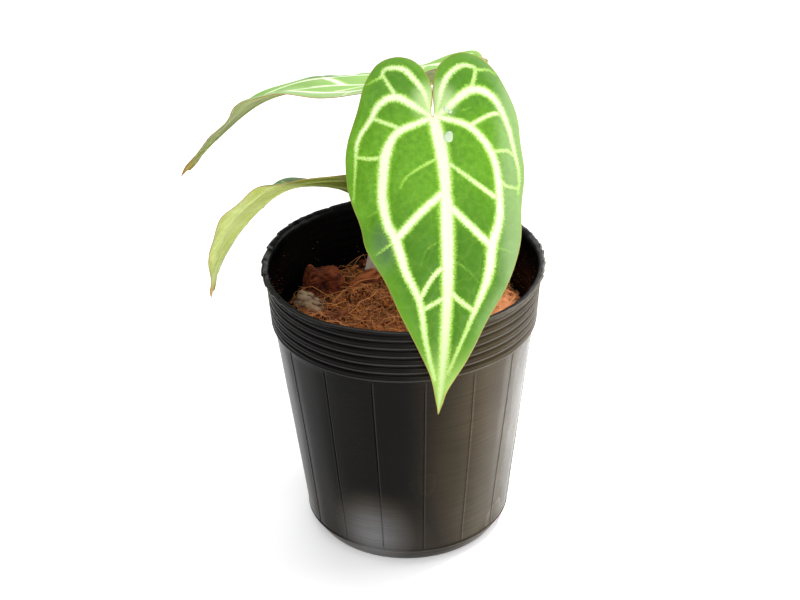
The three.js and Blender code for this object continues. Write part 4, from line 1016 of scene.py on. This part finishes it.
# The velvet upper side of an anthurium leaf, a skin of tiny domed cells: deep green between broad pale veins whose
# edges break into fine teeth, with a painted soft grey sheen along its margins and painted light on the upper leaf.
bladeUpper, add, shader = newMaterial("velvet leaf upper side", {
    "Roughness": 0.48, "Specular IOR Level": 0.18, "Sheen Weight": 0.03, "Sheen Roughness": 0.35,
    "Sheen Tint": "e6f2d2"})
flat = bladeMap(add)
along, across, _ = add("axes", [flat])
edge, run, width, margin, leafToneAndLight = (add("attribute", attribute_name=key) for key in bladeFields)
fromSinus = add("distance", [flat, (-6.5, 0.4, 0)])
paintedFullLight = add("range", [leafToneAndLight, 0.0, 0.45, 0.6, 0])  # painted light: paler on the upper leaf, which lies in full light
mottle = add("multiplyAdd", [add("noise", [flat, 1 / 22, 1]), 0.5, add("noise", [flat, 1 / 2.2, 4, 0.6])])
skin = add("mix", [add("range", [mottle, 0.45, 1.05]), "467a12", "689f22"])
skin = coats(add, skin, [
    (along, 18, 60, 0, 0.7, "356309"),  # painted shade: darker towards the tip, where the blade hangs steeper
    (along, 6, -16, 0, 0.55, "3f7220"),  # and darker in the lobes
])
skin = add("mix", [paintedFullLight, skin, "a2d264"])
paintedSheenPatch = add("vectorMultiply", [add("vectorSubtract", [flat, (52.5, -21, 0)]), (1 / 11, 1 / 6, 1)])
bent = add("vectorAdd", [flat, add("vectorScale", [add("cloud", [flat, 1 / 6, 2]), 7])])
skin = coats(add, skin, [
    (add("length", [paintedSheenPatch]), 0.3, 1.3, 0.75, 0, "4b6b41"),  # a painted greyish sheen patch at the left
    (add("cells", [bent, 1 / 8]), 0.0, 0.09, 0.06, 0, "a3c655"),  # the finest net
])
# A vein's edge is combed into teeth that point away from it, and broken into specks.
combed = add("joined", [add("multiply", [run, 1.3]), add("multiply", [edge, 0.22]), add("multiply", [across, 0.4])])
tooth = add("multiply", [add("subtract", [add("noise", [combed, 1, 4, 0.75]), 0.5]),
                         add("range", [width, 0.6, 3.2, 0.8, 2.5])])
speckle = add("multiplyAdd", [add("noise", [flat, 1 / 0.75, 3, 0.7]), 2.6, -1.3])
ragged = add("add", [add("add", [add("multiplyAdd", [width, 0.06, edge]), tooth]), speckle])
fineness = add("range", [width, 0.1, 0.9, 0.05, 1])  # a thin vein is faint
glow = add("divide", [ragged, add("multiplyAdd", [width, 0.28, 0.45])])
halo = add("multiply", [add("ease", [glow, -0.2, 1.0, 0.85, 0]), fineness])
skin = coats(add, add("mix", [halo, skin, "a2d24a"]), [
    (fromSinus, 3, 12, 0.6, 0, "bdd693"),  # silver round the sinus
    (along, 88, 114, 0, 0.75, "9fb866"),  # paler at the tip
])
# painted sheen: paler along the margins, greyer at the right, where the blade turns away
paintedMarginSheen = add("maximum", [add("ease", [margin, 0.0, 7.0, 0.3, 0]), add("ease", [across, 22, 31, 0, 0.5])])
skin = add("mix", [paintedMarginSheen, skin, add("mix", [add("ease", [across, 8, 26]), "7cb036", "9db482"])])
veinTone = add("mix", [add("range", [width, 0.4, 1.5]), "a9d153", "e2e8c2"])
veinTone = coats(add, veinTone, [(along, 50, 115, 0, 0.9, "abbc80")])
# painted light: whiter veins on the upper leaf
veinTone = add("mix", [paintedFullLight, veinTone, "fbfdf2"])
band = add("multiply", [add("ease", [ragged, -1.1, 0.6, 1, 0]), fineness])
skin = coats(add, add("mix", [band, skin, veinTone]), [
    (fromSinus, 1, 11, 0.35, 0, "c6dca4"),  # veins melt together at the sinus
    (margin, 0.0, 0.5, 0.6, 0, "a8a04a"),  # the dry brim
])
nap = add("bump", [add("noise", [flat, 1 / 0.5, 2]), 0.25, 0.12 * mm])
fill(shader, {"Base Color": skin, "Normal": nap})

# The smooth under side: pale yellow green, waxy, with paler ribs, painted light that pales the lower leaf and painted
# shade towards its stalk.
bladeUnder, add, shader = newMaterial("smooth leaf under side", {"Roughness": 0.42, "Specular IOR Level": 0.15})
flat = bladeMap(add)
along, across, _ = add("axes", [flat])
edge, margin, leafToneAndLight = (add("attribute", attribute_name=key) for key in ("veinEdge", "marginGap", "leafToneAndLight"))
lengthwise = add("noise", [add("stretched", [flat, (1 / 30, 1 / 1.1, 1)]), 1, 2, 0.6])
tint = add("range", [add("multiplyAdd", [lengthwise, 1.2, add("noise", [flat, 1 / 9, 3])]), 0.8, 1.4])
olive = add("mix", [tint, "74822a", "9ba640"])
# painted shade: the lower leaf darkens to olive towards its stalk, where the front leaf shades it
pale = coats(add, add("mix", [tint, "a6b552", "ccd788"]), [(along, 44, 26, 0, 0.9, "5a6616")])
# each leaf's own shade, partly painted light: olive under the upper leaf, paler under the lower leaf, as if lit through
skin = coats(add, add("mix", [leafToneAndLight, olive, pale]), [
    (edge, -0.9, 1.4, 0.25, 0, "c2cc86"),  # ribs
    (add("cells", [flat, 1 / 4.5]), 0.0, 0.08, 0.2, 0, "7b9148"),  # the finest net
    (along, 106, 120, 0, 0.9, "c9a856"),  # the dry tip
    (margin, 0.0, 0.7, 0.8, 0, "9a6b3a"),  # the dry brim
])
fill(shader, {"Base Color": skin, "Normal": add("bump", [add("noise", [flat, 1 / 0.9, 2]), 0.15, 0.1 * mm])})

# The leaf's rim, a thin dry seam of brown and yellow that turns orange red in the slit.
bladeRim, add, shader = newMaterial("leaf rim", {"Roughness": 0.5, "Specular IOR Level": 0.3})
flat = bladeMap(add)
seam = add("mix", [add("noise", [flat, 1 / 4, 3]), "8a5a35", "b99a4b"])
fromSlit = add("distance", [flat, (-6, 0, 0)])
fill(shader, {"Base Color": coats(add, seam, [(fromSlit, 8, 15, 1, 0, "b8431f")])})

sheet = flatBlade()
for name, leaf in leaves.items():
    settle(buildBlade(name, leaf, sheet), "leaf", "leaf_" + name)
print("blades made")

# Three drops of water left from spraying, flat domes on the front leaf.
drops = {"places": [(8.4, 6.1, 2.1), (-3.0, 5.2, 0.9), (-1.8, 7.0, 0.8)], "height": 0.32, "rings": 10, "sides": 32}


def buildDrops():
    place, _, scale = laidBlade(leaves["front"])
    points, faces = [], []
    sides, rings = drops["sides"], drops["rings"]

    def addPoint(s, w, lift):
        seat, up = place([s], [w])
        points.append((seat[0] + up[0] * lift * scale) * mm)

    for s0, w0, radius in drops["places"]:
        base, ground, height = len(points), blade["half"] + blade["puff"] * 0.4, radius * drops["height"]
        for ring in range(rings):
            out = math.sin(math.pi / 2 * (1 - ring / rings))
            for side in range(sides):
                a = 2 * math.pi * side / sides
                reach = radius * out * (1 + 0.09 * math.sin(2 * a + s0) + 0.06 * math.sin(3 * a + w0))
                addPoint(s0 + reach * math.cos(a), w0 + reach * math.sin(a), ground + height * math.cos(math.asin(out)))
        addPoint(s0, w0, ground + height)
        addPoint(s0, w0, blade["half"] * 0.5)
        faces += ringFaces(base, rings - 1, sides)
        faces += capFaces(base + (rings - 1) * sides, sides, len(points) - 2)
        faces += capFaces(base, sides, len(points) - 1, True)
    return makeObject("water_spots", points, faces, [water])


# Water, still, in a pale white that is only partly clear: a painted glint, with the leaf's green through it.
water, add, shader = newMaterial("water", {
    "Roughness": 0.05, "IOR": 1.33, "Transmission Weight": 0.4, "Base Color": "dff2d4"})
fill(shader, {"Normal": add("bump", [add("noise", [add("place"), 1000 / 1.5]), 0.5, 0.2 * mm])})
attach(buildDrops(), "root")

# Stalks
stalk = {"foot": 1.9, "middle": 1.45, "joint": 2.2, "jointLength": 8.5, "sides": 20, "seat": 1.65, "pitch": 0.5,
         "into": 1.2}  # how far it runs on into the blade


def stalkPath(points, count):  # the stalk's own smooth line through its points
    p = np.asarray(points, float)
    p = np.vstack([2 * p[0] - p[1], p, 2 * p[-1] - p[-2]])
    result = []
    for t in np.linspace(0, len(points) - 1, count):
        i = min(int(t), len(points) - 2)
        u = t - i
        a, b, c, d = p[i:i + 4]
        k0, k1, k2 = (np.linalg.norm(x) ** 0.5 for x in (b - a, c - b, d - c))
        m1 = ((b - a) / k0 - (c - a) / (k0 + k1) + (c - b) / k1) * k1
        m2 = ((c - b) / k1 - (d - b) / (k1 + k2) + (d - c) / k2) * k1
        result.append((2 * u ** 3 - 3 * u ** 2 + 1) * b + (u ** 3 - 2 * u ** 2 + u) * m1
                      + (3 * u ** 2 - 2 * u ** 3) * c + (u ** 3 - u ** 2) * m2)
    return np.array(result)


def buildStalk(name, leaf):
    place, midrib, scale = laidBlade(leaf)
    seat, up = place([1 / scale], [leaf["bow"] * float(midrib(1 / scale))])
    seat, up = seat[0] - up[0] * stalk["seat"], up[0]
    path = stalkPath(list(leaf["stalk"]) + [seat - up * stalk["jointLength"], seat], 400)
    path = evenly(np.vstack([path, path[-1] + up * stalk["into"]]), stalk["pitch"])
    reach = lengths(path)
    total = reach[-1]
    joint = total - stalk["jointLength"] - stalk["into"]
    thin, thick = stalk["middle"], stalk["joint"]
    size = pchip([0, 0.2 * total, 0.6 * total, joint - 1, joint + 1.2, joint + 5, total - 2.4, total],
                 [stalk["foot"], thin + 0.1, thin, thin, thick - 0.1, thick, thick - 0.2, thick * 0.7])
    tangent = np.gradient(path, axis=0)
    tangent /= np.linalg.norm(tangent, axis=1)[:, None]
    side = np.cross(tangent[0], (0.3, 1, 0.1))
    points, fields, sides = [], [], stalk["sides"]
    for i, centre in enumerate(path):
        side = side - tangent[i] * (side @ tangent[i])
        side /= np.linalg.norm(side)
        other = np.cross(tangent[i], side)
        inJoint = float(smoothStep(joint - 1, joint + 2, reach[i]))
        for k in range(sides):
            a = 2 * math.pi * k / sides
            rib = 1 + 0.035 * math.cos(5 * a) - 0.1 * max(0, math.cos(a)) ** 6 * (1 - inJoint)
            rib = rib * (1 + 0.03 * inJoint * math.sin(reach[i] * 7))
            points.append((centre + float(size(reach[i])) * rib * (math.cos(a) * side + math.sin(a) * other)) * mm)
            fields.append(inJoint)
    points += [path[0] * mm, path[-1] * mm]
    fields += [0, 1]
    bands, count = len(path) - 1, len(points)
    faces = ringFaces(0, bands, sides) + capFaces(0, sides, count - 2, True) + capFaces(bands * sides, sides, count - 1)
    return makeObject("stalk_" + name, points, faces, [stalkSkin], {"joint": fields})


# A leaf stalk's smooth live skin: olive green with fine reddish streaks along it, paler at the swollen joint.
stalkSkin, add, shader = newMaterial("leaf stalk skin", {"Roughness": 0.45, "Specular IOR Level": 0.4})
streak = add("noise", [add("stretched", [add("place"), perMetre(0.6, 0.6, 9)]), 1, 3])
olive = add("mix", [streak, "6a6a34", "8c9a4e"])
swollen = add("mix", [add("attribute", attribute_name="joint"), olive, "9aa65e"])
fill(shader, {"Base Color": swollen, "Normal": add("bump", [streak, 0.3, 0.15 * mm])})
for name, leaf in leaves.items():
    settle(buildStalk(name, leaf), "petiole", "petiole_" + name)
print("stalks made")
